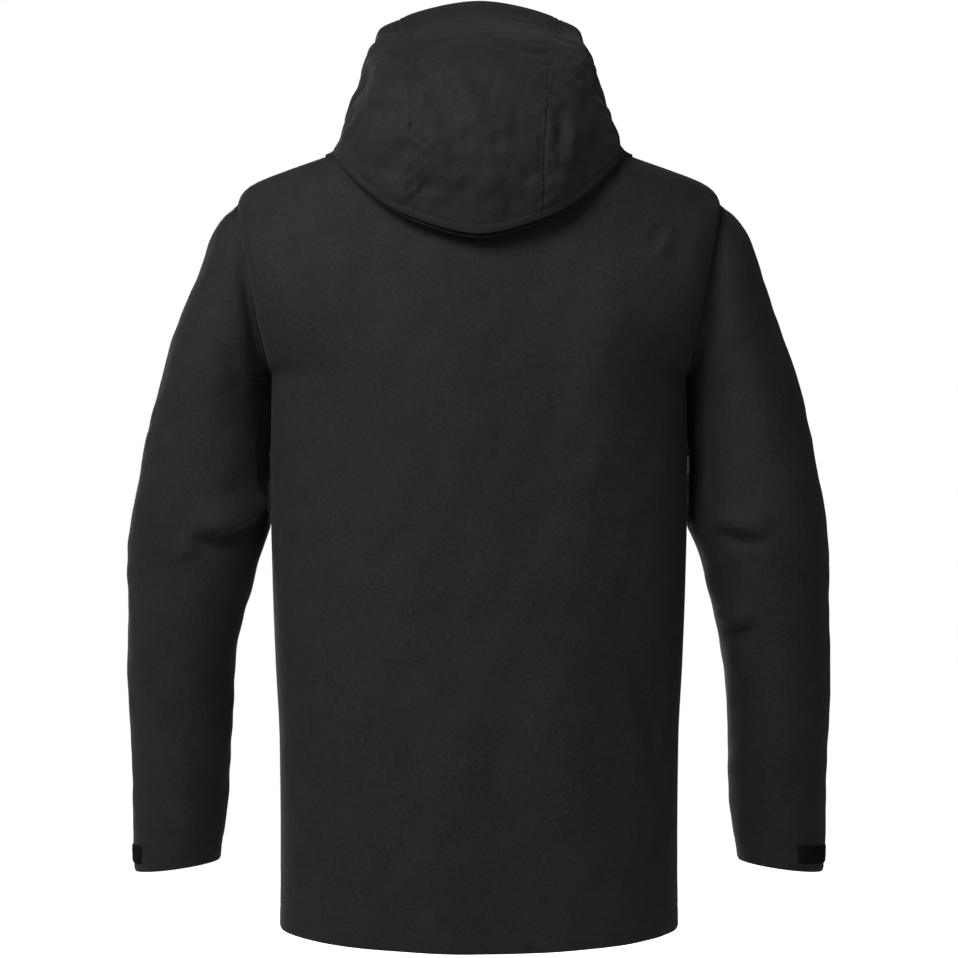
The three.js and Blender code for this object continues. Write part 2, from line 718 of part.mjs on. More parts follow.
// ---------------------------------------------------------------- sliders and pulls
// Two plates joined by a thin web that runs in the slit between the rows of teeth.
function sliderShape() {
  const inside = toothHeight / 2 + sliderClearance;
  const web = zipSlit - sliderClearance / 2;
  const half = sliderWidth / 2;
  const outline = [
    [-half, -inside - plate],
    [half, -inside - plate],
    [half, -inside],
    [web, -inside],
    [web, inside],
    [half, inside],
    [half, inside + plate],
    [-half, inside + plate],
    [-half, inside],
    [-web, inside],
    [-web, -inside],
    [-half, -inside],
  ];
  return new THREE.Shape(outline.map(([x, y]) => new THREE.Vector2(x, y)));
}
function addSlider(name, z) {
  const mesh = add(
    name,
    new THREE.ExtrudeGeometry(sliderShape(), { depth: sliderLength, bevelEnabled: false }),
    "metal",
  );
  const place = zipPlace(z);
  mesh.position.set(0, place.y + tapeHeight / 2, place.z);
  mesh.rotation.x = -zipAngle;
  return mesh;
}
const pullLength = 38;
const pullWidth = 8;
const pullThickness = 1.8;
// A flat pull with a rounded end, hanging in front of its slider from a pin at its top.
function addPull(name, z) {
  const shape = new THREE.Shape();
  const half = pullWidth / 2;
  shape.moveTo(-half * 0.6, 0);
  shape.lineTo(half * 0.6, 0);
  shape.lineTo(half, -8);
  shape.lineTo(half, -pullLength + half);
  shape.absarc(0, -pullLength + half, half, 0, -Math.PI, true);
  shape.lineTo(-half, -8);
  shape.closePath();
  const mesh = add(
    name,
    new THREE.ExtrudeGeometry(shape, { depth: pullThickness, bevelEnabled: false, curveSegments: 6 }),
    "plastic",
  );
  const place = zipPlace(z);
  const front = toothHeight / 2 + sliderClearance + plate + layGap;
  mesh.position.set(0, place.y + tapeHeight / 2 - front, place.z);
  mesh.rotation.x = Math.PI / 2 - zipAngle;
  return mesh;
}
const pinInset = 3; // a pull's pin is this far below its slider's top
const topSliderZ = zipTopZ - zipStopHeight - sliderLength - 1;
addSlider("top_slider", topSliderZ);
addPull("top_pull", topSliderZ + sliderLength - pinInset);
const pullClear = 3; // the low slider's pull ends this far above the opening
const lowSliderZ = zipSplitZ + pullClear + pullLength + pinInset - sliderLength;
addSlider("low_slider", lowSliderZ);
addPull("low_pull", lowSliderZ + sliderLength - pinInset);

// The folded cloth over the top end of the zip, against the chin.
const guardWidth = 26;
const guardHeight = 2.5;
const guardDepth = 5;
const guard = new THREE.BoxGeometry(guardWidth, guardDepth, guardHeight);
guard.translate(0, zipPlace(zipTopZ).y + cloth / 2, zipTopZ + 3 * layGap + guardHeight / 2);
add("chin_guard", guard, "shell");

// ---------------------------------------------------------------- hand pockets
const pocketTop = { x: 132, z: -452 };
const pocketBottom = { x: 148, z: -610 };
const pocketPoint = (t, sideways) =>
  bodyPoint(-1, lerp(pocketTop.x, pocketBottom.x, t) + sideways, lerp(pocketTop.z, pocketBottom.z, t));
const welt = 9; // half the width of the pocket's zip strip
const weltRise = 1.4;
addPair(
  "pocket_zip",
  sheet((a, b) => pocketPoint(b, lerp(-welt, welt, a)), 4, 10, {
    facing: -1,
    thickness: weltRise,
    lift: () => weltRise + layGap,
  }),
  "zip",
);
addPair(
  "pocket_bag",
  sheet(
    (a, b) => {
      const z = lerp(-640, pocketTop.z, b);
      return bodyPoint(-1, lerp(foldX(z) + 12, 186, a), z);
    },
    8,
    6,
    { facing: 1, thickness: 1.6, lift: () => -cloth - 4 * layGap },
  ),
  "lining",
);
// The pocket slider rides on the strip. Its pull is moulded on.
const pocketChord = pocketPoint(1, 0).sub(pocketPoint(0, 0));
const pocketSliderSize = [9, 4, 14];
// The slider runs straight while the strip bows, so it stands off by the strip's bow.
const pocketBow = pocketPoint(0.5, 0).distanceTo(pocketPoint(0, 0).lerp(pocketPoint(1, 0), 0.5));
function pocketSlider() {
  const [wide, deep, long] = pocketSliderSize;
  const outline = [
    [-wide / 2, 0],
    [wide / 2, 0],
    [wide / 2, long],
    [2.5, long + 2],
    [-2.5, long + 2],
    [-wide / 2, long],
  ];
  const shape = new THREE.Shape(outline.map(([x, y]) => new THREE.Vector2(x, y)));
  const geometry = indexed(new THREE.ExtrudeGeometry(shape, { depth: deep, bevelEnabled: false }));
  const down = pocketChord.clone().normalize();
  const start = pocketPoint(0.06, 0);
  const across = pocketPoint(0.5, 4).sub(pocketPoint(0.5, -4)).normalize();
  const out = across.clone().cross(down).normalize();
  if (out.y > 0) out.negate();
  geometry.applyMatrix4(new THREE.Matrix4().makeBasis(down.clone().cross(out), down, out));
  start.addScaledVector(out, weltRise + 2 * layGap + pocketBow);
  geometry.translate(start.x, start.y, start.z);
  return geometry;
}
addPair("pocket_slider", pocketSlider(), "metal");

// ---------------------------------------------------------------- cord locks with a sprung button
const lockRadius = 7;
const lockHeight = 15;
const buttonRadius = 4.6;
const boreDepth = 9;
const buttonTravel = 4;
function lockHousing() {
  const bore = buttonRadius + 0.4;
  const profile = [
    [0, 0],
    [lockRadius - 1, 0],
    [lockRadius, 1],
    [lockRadius, lockHeight - 1],
    [lockRadius - 1, lockHeight],
    [bore, lockHeight],
    [bore, lockHeight - boreDepth],
    [0, lockHeight - boreDepth],
  ];
  const geometry = new THREE.LatheGeometry(profile.map(([x, y]) => new THREE.Vector2(x, y)), 14);
  geometry.rotateX(Math.PI / 2);
  return geometry;
}
function lockButton() {
  const start = lockHeight - boreDepth + buttonTravel + 0.4;
  const end = lockHeight + buttonTravel + 1.5;
  const profile = [
    [0, start],
    [buttonRadius, start],
    [buttonRadius, end - 1],
    [buttonRadius - 1, end],
    [0, end],
  ];
  const geometry = new THREE.LatheGeometry(profile.map(([x, y]) => new THREE.Vector2(x, y)), 14);
  geometry.rotateX(Math.PI / 2);
  return geometry;
}
function addLock(name, place) {
  const geometries = { cord_lock: lockHousing(), lock_button: lockButton() };
  for (const [kind, geometry] of Object.entries(geometries))
    for (const hand of ["left", "right"]) {
      const mesh = add(name + "_" + kind + "_" + hand, geometry, "plastic");
      mesh.position.set(hand === "left" ? place.x : -place.x, place.y, place.z);
    }
}
// Inside the hem near the side seams, where the hem cord ends.
const lockShare = 0.8;
const hemLockX = edgeX(hemZ) * Math.sin((lockShare * Math.PI) / 2);
const lockAboveHem = 12;
const lockTurn = 1.6; // sets the way in from the cloth to the lock, between sideways and back
const hemLock = bodyPoint(-1, hemLockX, hemZ + lockAboveHem);
const hemLockIn = v3(hemLock.x, hemLock.y * lockTurn, 0).normalize();
hemLock.addScaledVector(hemLockIn, -(cloth + 2 * layGap + lockRadius));
addLock("hem", hemLock);
// On the front of the collar, one each side of the zip, where the hood's face cord ends.
const lockStandOff = 2.4; // from the collar's face to the round of the lock
const lockUpCollar = 0.25;
const hoodLock = collarPoint(neckTurns[1], lockUpCollar);
const hoodLockOut = v3(hoodLock.x, hoodLock.y, 0).normalize();
hoodLock.addScaledVector(hoodLockOut, lockRadius + lockStandOff);
addLock("hood", hoodLock);

// ---------------------------------------------------------------- the frame's origin is the top of the hang loop
const jacketFrame = new THREE.Group();
jacket.position.set(0, -(loopY - loopStand), -loopZ);
jacketFrame.add(jacket);

export default jacketFrame;
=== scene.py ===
import math
import bpy
import mathutils
import numpy as np
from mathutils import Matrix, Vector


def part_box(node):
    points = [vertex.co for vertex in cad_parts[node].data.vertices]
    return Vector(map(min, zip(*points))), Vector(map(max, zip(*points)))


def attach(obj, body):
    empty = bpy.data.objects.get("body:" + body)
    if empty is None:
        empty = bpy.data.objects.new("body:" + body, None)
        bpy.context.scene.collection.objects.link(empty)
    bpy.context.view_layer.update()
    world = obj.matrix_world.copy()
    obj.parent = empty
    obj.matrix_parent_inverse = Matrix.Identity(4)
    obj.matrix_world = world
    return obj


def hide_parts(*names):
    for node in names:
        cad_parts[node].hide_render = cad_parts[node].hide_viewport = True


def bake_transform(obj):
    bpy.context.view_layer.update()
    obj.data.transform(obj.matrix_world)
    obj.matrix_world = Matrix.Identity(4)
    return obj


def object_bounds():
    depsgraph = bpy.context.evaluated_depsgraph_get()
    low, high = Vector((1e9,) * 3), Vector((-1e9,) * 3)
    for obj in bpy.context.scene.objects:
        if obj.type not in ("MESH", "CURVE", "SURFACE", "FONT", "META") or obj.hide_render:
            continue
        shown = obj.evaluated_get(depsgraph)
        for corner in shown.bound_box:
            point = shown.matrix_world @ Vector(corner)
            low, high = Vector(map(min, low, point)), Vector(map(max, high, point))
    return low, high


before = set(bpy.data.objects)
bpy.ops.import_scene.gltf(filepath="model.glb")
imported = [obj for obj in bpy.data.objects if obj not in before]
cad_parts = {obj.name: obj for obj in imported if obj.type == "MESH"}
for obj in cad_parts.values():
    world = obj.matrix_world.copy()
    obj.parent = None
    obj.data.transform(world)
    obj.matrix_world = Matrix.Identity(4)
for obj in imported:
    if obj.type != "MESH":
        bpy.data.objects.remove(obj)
cad_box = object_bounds()

# ------------------------------------------------------------------ studio
# The jacket hangs as if worn, seen from behind, in a plain white studio over a pale floor.
# The camera stands three metres behind the neck seam at half the jacket's height. A soft light comes from the upper
# left and one from that side, with weaker ones from the right and in front, and the white walls fill the rest.
scene = bpy.context.scene
neck_y = sum(corner.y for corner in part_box("sleeve_head_left")) / 2
neck_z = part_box("back_panel")[1].z
camera_away = 3.0
camera_drop = 0.349
view_width = 0.958
target = (0, neck_y, neck_z - camera_drop)

camera = bpy.data.objects.new("camera", bpy.data.cameras.new("camera"))
scene.collection.objects.link(camera)
camera.location = (0, neck_y + camera_away, target[2])
camera.rotation_euler = (math.pi / 2, 0, math.pi)
camera.data.sensor_width = 36
camera.data.lens = camera.data.sensor_width * camera_away / view_width
scene.camera = camera
scene.view_settings.view_transform = "Standard"


def softbox(name, place, size, watts):
    lamp = bpy.data.objects.new(name, bpy.data.lights.new(name, "AREA"))
    scene.collection.objects.link(lamp)
    lamp.data.shape = "RECTANGLE"
    lamp.data.size, lamp.data.size_y = size
    lamp.data.energy = watts
    lamp.location = place
    lamp.visible_camera = False
    away = lamp.location - mathutils.Vector(target)
    lamp.rotation_euler = away.to_track_quat("Z", "Y").to_euler()


softbox("key_light", (0.7, 1.3, 0.85), (0.9, 0.7), 25)
softbox("side_light", (1.7, 0.9, 0.8), (0.8, 0.8), 9)
softbox("fill_light", (-1.5, 1.8, 0.7), (0.9, 1.2), 6)
softbox("front_light", (0.6, -2.6, -0.1), (2.0, 1.6), 40)

world = bpy.data.worlds.new("white_walls")
scene.world = world
world.use_nodes = True
walls = world.node_tree.nodes["Background"]
walls.inputs["Color"].default_value = (1, 1, 1, 1)
paths = world.node_tree.nodes.new("ShaderNodeLightPath")
wall_light = world.node_tree.nodes.new("ShaderNodeMapRange")
wall_light.inputs["To Min"].default_value = 0.07
wall_light.inputs["To Max"].default_value = 1.0
world.node_tree.links.new(paths.outputs["Is Camera Ray"], wall_light.inputs["Value"])
world.node_tree.links.new(wall_light.outputs["Result"], walls.inputs["Strength"])

floor_z = cad_box[0].z - 0.28
floor_radius = 9
floor_turns = np.linspace(0, 2 * math.pi, 97)[:-1]
ring = [(floor_radius * math.cos(t), floor_radius * math.sin(t), floor_z) for t in floor_turns]
floor_mesh = bpy.data.meshes.new("studio_floor")
floor_mesh.from_pydata(ring, [], [range(len(ring))])
floor = bpy.data.objects.new("studio_floor", floor_mesh)
scene.collection.objects.link(floor)


def material(name, roughness=0.8, **settings):
    made = bpy.data.materials.new(name)
    made.use_nodes = True
    shader = made.node_tree.nodes["Principled BSDF"]
    shader.inputs["Roughness"].default_value = roughness
    for key, value in settings.items():
        shader.inputs[key.replace("_", " ")].default_value = value
    return made, made.node_tree.nodes, made.node_tree.links, shader


floor_paint, nodes, links, shader = material("pale_floor", 0.9)
shader.inputs["Base Color"].default_value = (0.86, 0.86, 0.86, 1)
shader.inputs["Emission Color"].default_value = (1, 1, 1, 1)
floor_paths = nodes.new("ShaderNodeLightPath")
floor_glow = nodes.new("ShaderNodeMapRange")
floor_glow.inputs["To Min"].default_value = 0.0
floor_glow.inputs["To Max"].default_value = 0.95
links.new(floor_paths.outputs["Is Camera Ray"], floor_glow.inputs["Value"])
links.new(floor_glow.outputs["Result"], shader.inputs["Emission Strength"])
floor_mesh.materials.append(floor_paint)

# ------------------------------------------------------------------ the cloth
# The shell is a three-layer laminate: a matte, near-black plain weave outside, a waterproof film, and a thin
# knitted backer inside. It is 0.8 mm thick, cut in panels, and sewn with the seams taped from inside.
mm = 0.001
laminate = 0.8
hem_laps = 2.4  # thickness where the hem is turned up


def placed(points):
    """Points laid out in millimetres about the middle of the neck, in the frame's metres."""
    return np.asarray(points) * mm + (0, neck_y, neck_z)


def unit(vectors):
    return vectors / np.maximum(np.linalg.norm(vectors, axis=-1, keepdims=True), 1e-9)


def lerp(a, b, t):
    return a + (b - a) * t


def smooth(t):
    t = np.clip(t, 0, 1)
    return t * t * (3 - 2 * t)


def normals(face, facing):
    """Which way a grid of points faces."""
    return unit(np.cross(np.gradient(face, axis=0), np.gradient(face, axis=1))) * facing


def lengths(face, edge):
    """How far each point of a grid lies from one of its edges, along the cloth."""
    axis = 0 if edge in ("first", "last") else 1
    steps = np.linalg.norm(np.diff(face, axis=axis), axis=-1)
    far = np.insert(np.cumsum(steps, axis=axis), 0, 0, axis=axis)
    if edge in ("last", "high"):
        far = np.take(far, [-1], axis=axis) - far
    return far


def divided(length, step, from_start=(), from_end=()):
    """Shares from 0 to 1 along a length, a step apart, and closer together at the distances named."""
    around = np.array([-2.6, -1.3, 0, 1.3, 2.6])
    marks = [np.linspace(0, length, max(3, round(length / step) + 1))]
    marks += [at + around for at in from_start] + [length - at + around for at in from_end]
    kept = [0.0]
    for mark in np.sort(np.concatenate(marks)):
        if mark - kept[-1] > 0.8 and mark < length - 0.8:
            kept.append(mark)
    return np.array(kept + [length]) / length


def wander(points, size, seed, waves=10):
    """Smooth unevenness, about -1 to 1, with bumps of a given size in millimetres."""
    draw = np.random.default_rng(seed)
    ways = unit(draw.normal(size=(waves, 3)))
    pitch = draw.uniform(0.6, 1.5, waves) * 2 * math.pi / (2 * size)
    start = draw.uniform(0, 2 * math.pi, waves)
    return np.sin(points @ (ways * pitch[:, None]).T + start).sum(-1) / math.sqrt(waves)


def rolled(far):
    """The cloth turns in at a seam."""
    return -1.1 * np.exp(-((far / 1.7) ** 2))


def closed(far):
    """A flat felled seam: the cloth hardly dips."""
    return -0.35 * np.exp(-((far / 1.4) ** 2))


def stitched(at, deep=0.5):
    """A row of stitches pulls the cloth in."""
    return lambda far: -deep * np.exp(-(((far - at) / 1.5) ** 2))


def lapped(width, high):
    """The seam's turned edge lifts the cloth beside it."""
    return lambda far: high * (1 - smooth((far - width + 1.2) / 2.4))


made_of_cloth = {}


def solid_cloth(name, face, back, out, facing, outside, inside):
    """A closed mesh from the outer and inner faces of a sheet, with the outer face's own smooth shading."""
    wide, tall = face.shape[:2]
    count = wide * tall
    index = np.arange(count).reshape(wide, tall)
    quads = np.stack([index[:-1, :-1], index[1:, :-1], index[1:, 1:], index[:-1, 1:]], -1).reshape(-1, 4)
    border = np.concatenate([index[:-1, 0], index[-1, :-1], index[:0:-1, -1], index[0, :0:-1]])
    ahead = np.roll(border, -1)
    rim = np.stack([ahead, border, border + count, ahead + count], -1)
    faces = np.concatenate([quads, quads[:, ::-1] + count, rim])
    if facing < 0:
        faces = faces[:, ::-1]
    points = placed(np.concatenate([face.reshape(-1, 3), back.reshape(-1, 3)]))
    mesh = bpy.data.meshes.new(name)
    mesh.from_pydata(points, [], faces.tolist())
    mesh.materials.append(outside)
    mesh.materials.append(inside)
    slots = np.zeros(len(faces), np.int32)
    slots[len(quads):2 * len(quads)] = 1
    mesh.polygons.foreach_set("material_index", slots)
    mesh.polygons.foreach_set("use_smooth", np.ones(len(faces), bool))
    corners = points[faces[2 * len(quads):]]
    sides = unit(np.cross(corners[:, 2] - corners[:, 0], corners[:, 3] - corners[:, 1]))
    flat = np.concatenate([out.reshape(-1, 3), -out.reshape(-1, 3)])
    loops = np.concatenate([flat[faces[:2 * len(quads)].ravel()], np.repeat(sides, 4, axis=0)])
    mesh.normals_split_custom_set(loops.tolist())
    across = lengths(face, "first")
    across = across - across.mean(axis=0)
    weave = np.stack([across, lengths(face, "low"), np.zeros_like(across)], -1).reshape(-1, 3) * mm
    cut = mesh.attributes.new("weave", "FLOAT_VECTOR", "POINT")
    cut.data.foreach_set("vector", np.concatenate([weave, weave]).astype(np.float32).ravel())
    piece = bpy.data.objects.new(name, mesh)
    scene.collection.objects.link(piece)
    return piece


def cloth(
    name, point, columns, rows, facing, shape=None, relief=(), thick=laminate, outside=None, inside=None, keep=None
):
    """A panel of cloth. point(a, b) is its outer face before shaping, shape(points) is how far it is pushed out, and
    relief lists (edge, profile) pairs for its seams. keep makes only some of the rows, with the whole panel's
    shading."""
    a, b = np.meshgrid(columns, rows, indexing="ij")
    face = point(a, b)
    push = np.zeros(a.shape) if shape is None else shape(face)
    for edge, profile in relief:
        push = push + profile(lengths(face, edge))
    face = face + normals(face, facing) * push[..., None]
    out = normals(face, facing)
    depth = thick(face) if callable(thick) else thick
    back = face - out * np.broadcast_to(depth, a.shape)[..., None]
    chosen = slice(None) if keep is None else keep
    made_of_cloth[name] = (face[:, chosen], out[:, chosen])
    return solid_cloth(
        name, face[:, chosen], back[:, chosen], out[:, chosen], facing, outside or shell, inside or backer
    )


def edge_line(name, edge, far, start=0.0, stop=1.0):
    """The line on a panel that keeps a distance from one of its edges: points, and the way the cloth faces there."""
    face, out = made_of_cloth[name]
    away = lengths(face, edge)
    if edge in ("first", "last"):
        face, out, away = (np.swapaxes(x, 0, 1) for x in (face, out, away))
    count = len(face)
    line, ways = [], []
    for k in range(round(start * (count - 1)), round(stop * (count - 1)) + 1):
        order = np.argsort(away[k])
        line.append([np.interp(far, away[k][order], face[k, order, c]) for c in range(3)])
        ways.append([np.interp(far, away[k][order], out[k, order, c]) for c in range(3)])
    return np.array(line), unit(np.array(ways))


def joined(name, parts, paint):
    """One mesh object from a list of (points, faces) in millimetres."""
    points, faces, start = [], [], 0
    for part_points, part_faces in parts:
        points.append(np.asarray(part_points))
        faces += [[start + k for k in face] for face in part_faces]
        start += len(part_points)
    mesh = bpy.data.meshes.new(name)
    mesh.from_pydata(placed(np.concatenate(points)), [], faces)
    mesh.materials.append(paint)
    mesh.polygons.foreach_set("use_smooth", np.ones(len(faces), bool))
    mesh.set_sharp_from_angle(angle=math.radians(40))
    piece = bpy.data.objects.new(name, mesh)
    scene.collection.objects.link(piece)
    return piece


def resampled(line, ways, step, offset=0.0):
    """A line walked in equal steps."""
    far = np.insert(np.cumsum(np.linalg.norm(np.diff(line, axis=0), axis=1)), 0, 0)
    marks = np.arange(offset, far[-1], step)
    walk = np.stack([np.interp(marks, far, line[:, c]) for c in range(3)], -1)
    up = np.stack([np.interp(marks, far, ways[:, c]) for c in range(3)], -1)
    return walk, unit(up)


stitch_pitch = 3.2
thread_radius = 0.24


def stitching(name, lines, paint=None):
    """Rows of separate stitches of round thread, each dipping into the cloth at both ends."""
    parts = []
    sides = 5
    turns = np.arange(sides) * 2 * math.pi / sides
    for line, ways in lines:
        starts, up = resampled(line, ways, stitch_pitch)
        ends, _ = resampled(line, ways, stitch_pitch, offset=stitch_pitch * 0.8)
        count = min(len(starts), len(ends))
        along = ends[:count] - starts[:count]
        side = unit(np.cross(along, up[:count]))
        for k in range(count):
            rings = []
            for share, size, rise in ((0, 0.35, -0.2), (0.25, 1, 0.16), (0.75, 1, 0.16), (1, 0.35, -0.2)):
                middle = starts[k] + along[k] * share + up[k] * rise
                spokes = np.cos(turns)[:, None] * side[k] + np.sin(turns)[:, None] * up[k]
                rings.append(middle + spokes * thread_radius * size)
            faces = [
                [r * sides + s, r * sides + (s + 1) % sides, (r + 1) * sides + (s + 1) % sides, (r + 1) * sides + s]
                for r in range(3)
                for s in range(sides)
            ]
            faces += [list(range(sides))[::-1], list(range(3 * sides, 4 * sides))]
            parts.append((np.concatenate(rings), [face[::-1] for face in faces]))
    return joined(name, parts, paint or thread)


def woven(name, dark, light, roughness, pitch, bump, speckle=3.0, **settings):
    """A woven or knitted material: fine crossed threads, with a mottled colour."""
    made, nodes, links, shader = material(name, roughness, **settings)

    def node(kind, **values):
        new = nodes.new(kind)
        for key, value in values.items():
            if hasattr(new, key):
                setattr(new, key, value)
            else:
                new.inputs[key.replace("_", " ")].default_value = value
        return new

    place = node("ShaderNodeTexCoord")
    cut = node("ShaderNodeAttribute", attribute_name="weave")
    split = node("ShaderNodeSeparateXYZ")
    links.new(cut.outputs["Vector"], split.inputs[0])
    threads = []
    for axis in ("X", "Y"):
        turn = node("ShaderNodeMath", operation="MULTIPLY")
        turn.inputs[1].default_value = math.pi / (pitch * mm)
        wave = node("ShaderNodeMath", operation="SINE")
        links.new(split.outputs[axis], turn.inputs[0])
        links.new(turn.outputs[0], wave.inputs[0])
        threads.append(wave)
    crossing = node("ShaderNodeMath", operation="MULTIPLY")
    links.new(threads[0].outputs[0], crossing.inputs[0])
    links.new(threads[1].outputs[0], crossing.inputs[1])
    speckles = node("ShaderNodeTexNoise", Scale=1000 / speckle, Detail=3.0, Roughness=0.65)
    patches = node("ShaderNodeTexNoise", Scale=1000 / (speckle * 14), Detail=2.0, Roughness=0.5)
    fuzz = node("ShaderNodeTexNoise", Scale=1000 / (pitch * 1.6), Detail=2.0, Roughness=0.6)
    for texture in (speckles, patches, fuzz):
        links.new(place.outputs["Object"], texture.inputs["Vector"])
    mottle = node("ShaderNodeMix", data_type="FLOAT")
    mottle.inputs[0].default_value = 0.22
    links.new(speckles.outputs["Fac"], mottle.inputs[2])
    links.new(patches.outputs["Fac"], mottle.inputs[3])
    spread = node("ShaderNodeMapRange")
    spread.inputs["From Min"].default_value = 0.36
    spread.inputs["From Max"].default_value = 0.64
    links.new(mottle.outputs[0], spread.inputs["Value"])
    colours = node("ShaderNodeMix", data_type="RGBA")
    colours.inputs[6].default_value = (*dark, 1)
    colours.inputs[7].default_value = (*light, 1)
    links.new(spread.outputs["Result"], colours.inputs[0])
    links.new(colours.outputs[2], shader.inputs["Base Color"])
    rough = node("ShaderNodeMapRange")
    rough.inputs["To Min"].default_value = roughness - 0.07
    rough.inputs["To Max"].default_value = min(1, roughness + 0.08)
    links.new(speckles.outputs["Fac"], rough.inputs["Value"])
    links.new(rough.outputs["Result"], shader.inputs["Roughness"])
    height = node("ShaderNodeMath", operation="MULTIPLY_ADD")
    height.inputs[1].default_value = 0.5
    links.new(crossing.outputs[0], height.inputs[0])
    links.new(fuzz.outputs["Fac"], height.inputs[2])
    relief = node("ShaderNodeBump", Strength=1.0, Distance=bump * mm)
    links.new(height.outputs[0], relief.inputs["Height"])
    links.new(relief.outputs["Normal"], shader.inputs["Normal"])
    return made


shell = woven(
    "matte_shell_cloth", (0.0065, 0.0065, 0.0066), (0.0165, 0.0165, 0.0166), 0.78, 0.75, 0.12,
    Specular_IOR_Level=0.30, Sheen_Weight=0.04, Sheen_Roughness=0.5,
)
backer = woven(
    "knitted_backer", (0.020, 0.021, 0.023), (0.030, 0.031, 0.034), 0.85, 1.1, 0.14, speckle=2.0,
    Specular_IOR_Level=0.3, Sheen_Weight=0.1,
)
thread = woven(
    "sewing_thread", (0.012, 0.012, 0.0125), (0.022, 0.022, 0.023), 0.55, 0.3, 0.03, speckle=1.0,
    Specular_IOR_Level=0.5,
)

# ------------------------------------------------------------------ back
# One panel from hem to shoulders with no seam across it. It hangs straight from the shoulder blades, drops a
# little lower at the middle of the hem, and is sewn to the fronts along the sides and to the sleeves.
hem_z = -795
back_drop = 12
armpit = (207, -245)
shoulder = (240, -73)
neck_half = 75
neck_drop = {1: 12, -1: 72}
armhole_half = 64
fullness = {1: 2.4, -1: 2.6}
seam_gap = 0.3
zip_lean = 0.0375
hem_front_y = 128


def through(*stations):
    """A smooth curve through stations, with no overshoot between them."""
    xs, ys = (np.array(column, float) for column in zip(*sorted(stations)))
    steps = np.diff(xs)
    slopes = np.diff(ys) / steps
    product = slopes[1:] * slopes[:-1]
    total = np.where(product > 0, slopes[1:] + slopes[:-1], 1)
    tangents = np.concatenate([slopes[:1], np.where(product > 0, 2 * product / total, 0), slopes[-1:]])

    def curve(x):
        i = np.clip(np.searchsorted(xs, x, side="right") - 1, 0, len(xs) - 2)
        t = np.clip((x - xs[i]) / steps[i], 0, 1)
        s = 1 - t
        low, high = ys[i] * (1 + 2 * t) * s * s, ys[i + 1] * t * t * (3 - 2 * t)
        return low + high + steps[i] * t * s * (tangents[i] * s - tangents[i + 1] * t)

    return curve


armhole_mid = (armpit[1] + shoulder[1]) / 2
armhole_tall = (shoulder[1] - armpit[1]) / 2
armhole_plane = [
    (z, lerp(armpit[0], shoulder[0], (z - armpit[1]) / (shoulder[1] - armpit[1])))
    for z in (armpit[1] + 8, armhole_mid, shoulder[1] - 8)
]
edge_x = through(
    (hem_z - back_drop, 199), (-710, 198), (-610, 199), (-530, 203), (-450, 206), (-350, 208),
    (armpit[1], armpit[0]), *armhole_plane, (shoulder[1], shoulder[0]),
    (-62, 234), (-54, 222), (-46, 202), (-30, 157), (0, neck_half),
)
back_depth = through(
    (hem_z - back_drop, 115), (-600, 116), (-400, 118), (-250, 120), (-150, 112), (-80, 100), (-30, 84), (-12, 72),
    (0, 58),
)


def front_line(z):
    return hem_front_y - zip_lean * (z - hem_z)


yoke_depth = through((-72, front_line(-72)), (-50, 93), (-30, 80), (-15, 64), (0, 45))


def body_point(side, x, z):
    """A point of the body's outer face; side is 1 for the back and -1 for the front."""
    deep = back_depth(z) if side > 0 else np.where(z < -72, front_line(z), yoke_depth(z))
    within = np.maximum(0, 1 - ((z - armhole_mid) / armhole_tall) ** 2)
    share = np.clip(np.abs(x) / edge_x(z), 0, 1)
    inset = armhole_half * lerp(within**1.3, np.sqrt(within), share**8) + seam_gap / 2
    power = fullness[side]
    y = inset + (deep - inset) * (1 - share**power) ** (1 / power)
    return np.stack(np.broadcast_arrays(x, side * y, z), -1)


def top_of_column(side, x_at, like):
    """The height at which each column of a panel meets the neckline."""
    low, high = np.full(like.shape, -float(neck_drop[side])), np.zeros(like.shape)
    for _ in range(40):
        z = (low + high) / 2
        beyond = np.abs(x_at(z)) > neck_half * np.sqrt(np.maximum(0, 1 - (z / neck_drop[side]) ** 2))
        low, high = np.where(beyond, z, low), np.where(beyond, high, z)
    return (low + high) / 2


def quarter(share, z):
    """The sideways place at a share of the quarter turn from the centre to the side."""
    return edge_x(z) * np.sin(share * math.pi / 2)


def hem_height(side, share):
    return hem_z - back_drop * (1 - share**2) if side > 0 else hem_z + 0 * share


def panel_point(side, share_at):
    """The outer face of a body panel. share_at(a, z) is the share of the quarter turn of column a at a height."""

    def point(a, b):
        x_at = lambda z: quarter(share_at(a, z), z)
        foot = hem_height(side, np.abs(x_at(np.full(a.shape, hem_z))) / edge_x(hem_z))
        z = lerp(foot, top_of_column(side, x_at, a), b)
        return body_point(side, x_at(z), z)

    return point


def fold_profile(far, width, lean):
    return np.exp(-((far / np.where(far > 0, width, width * lean)) ** 2))


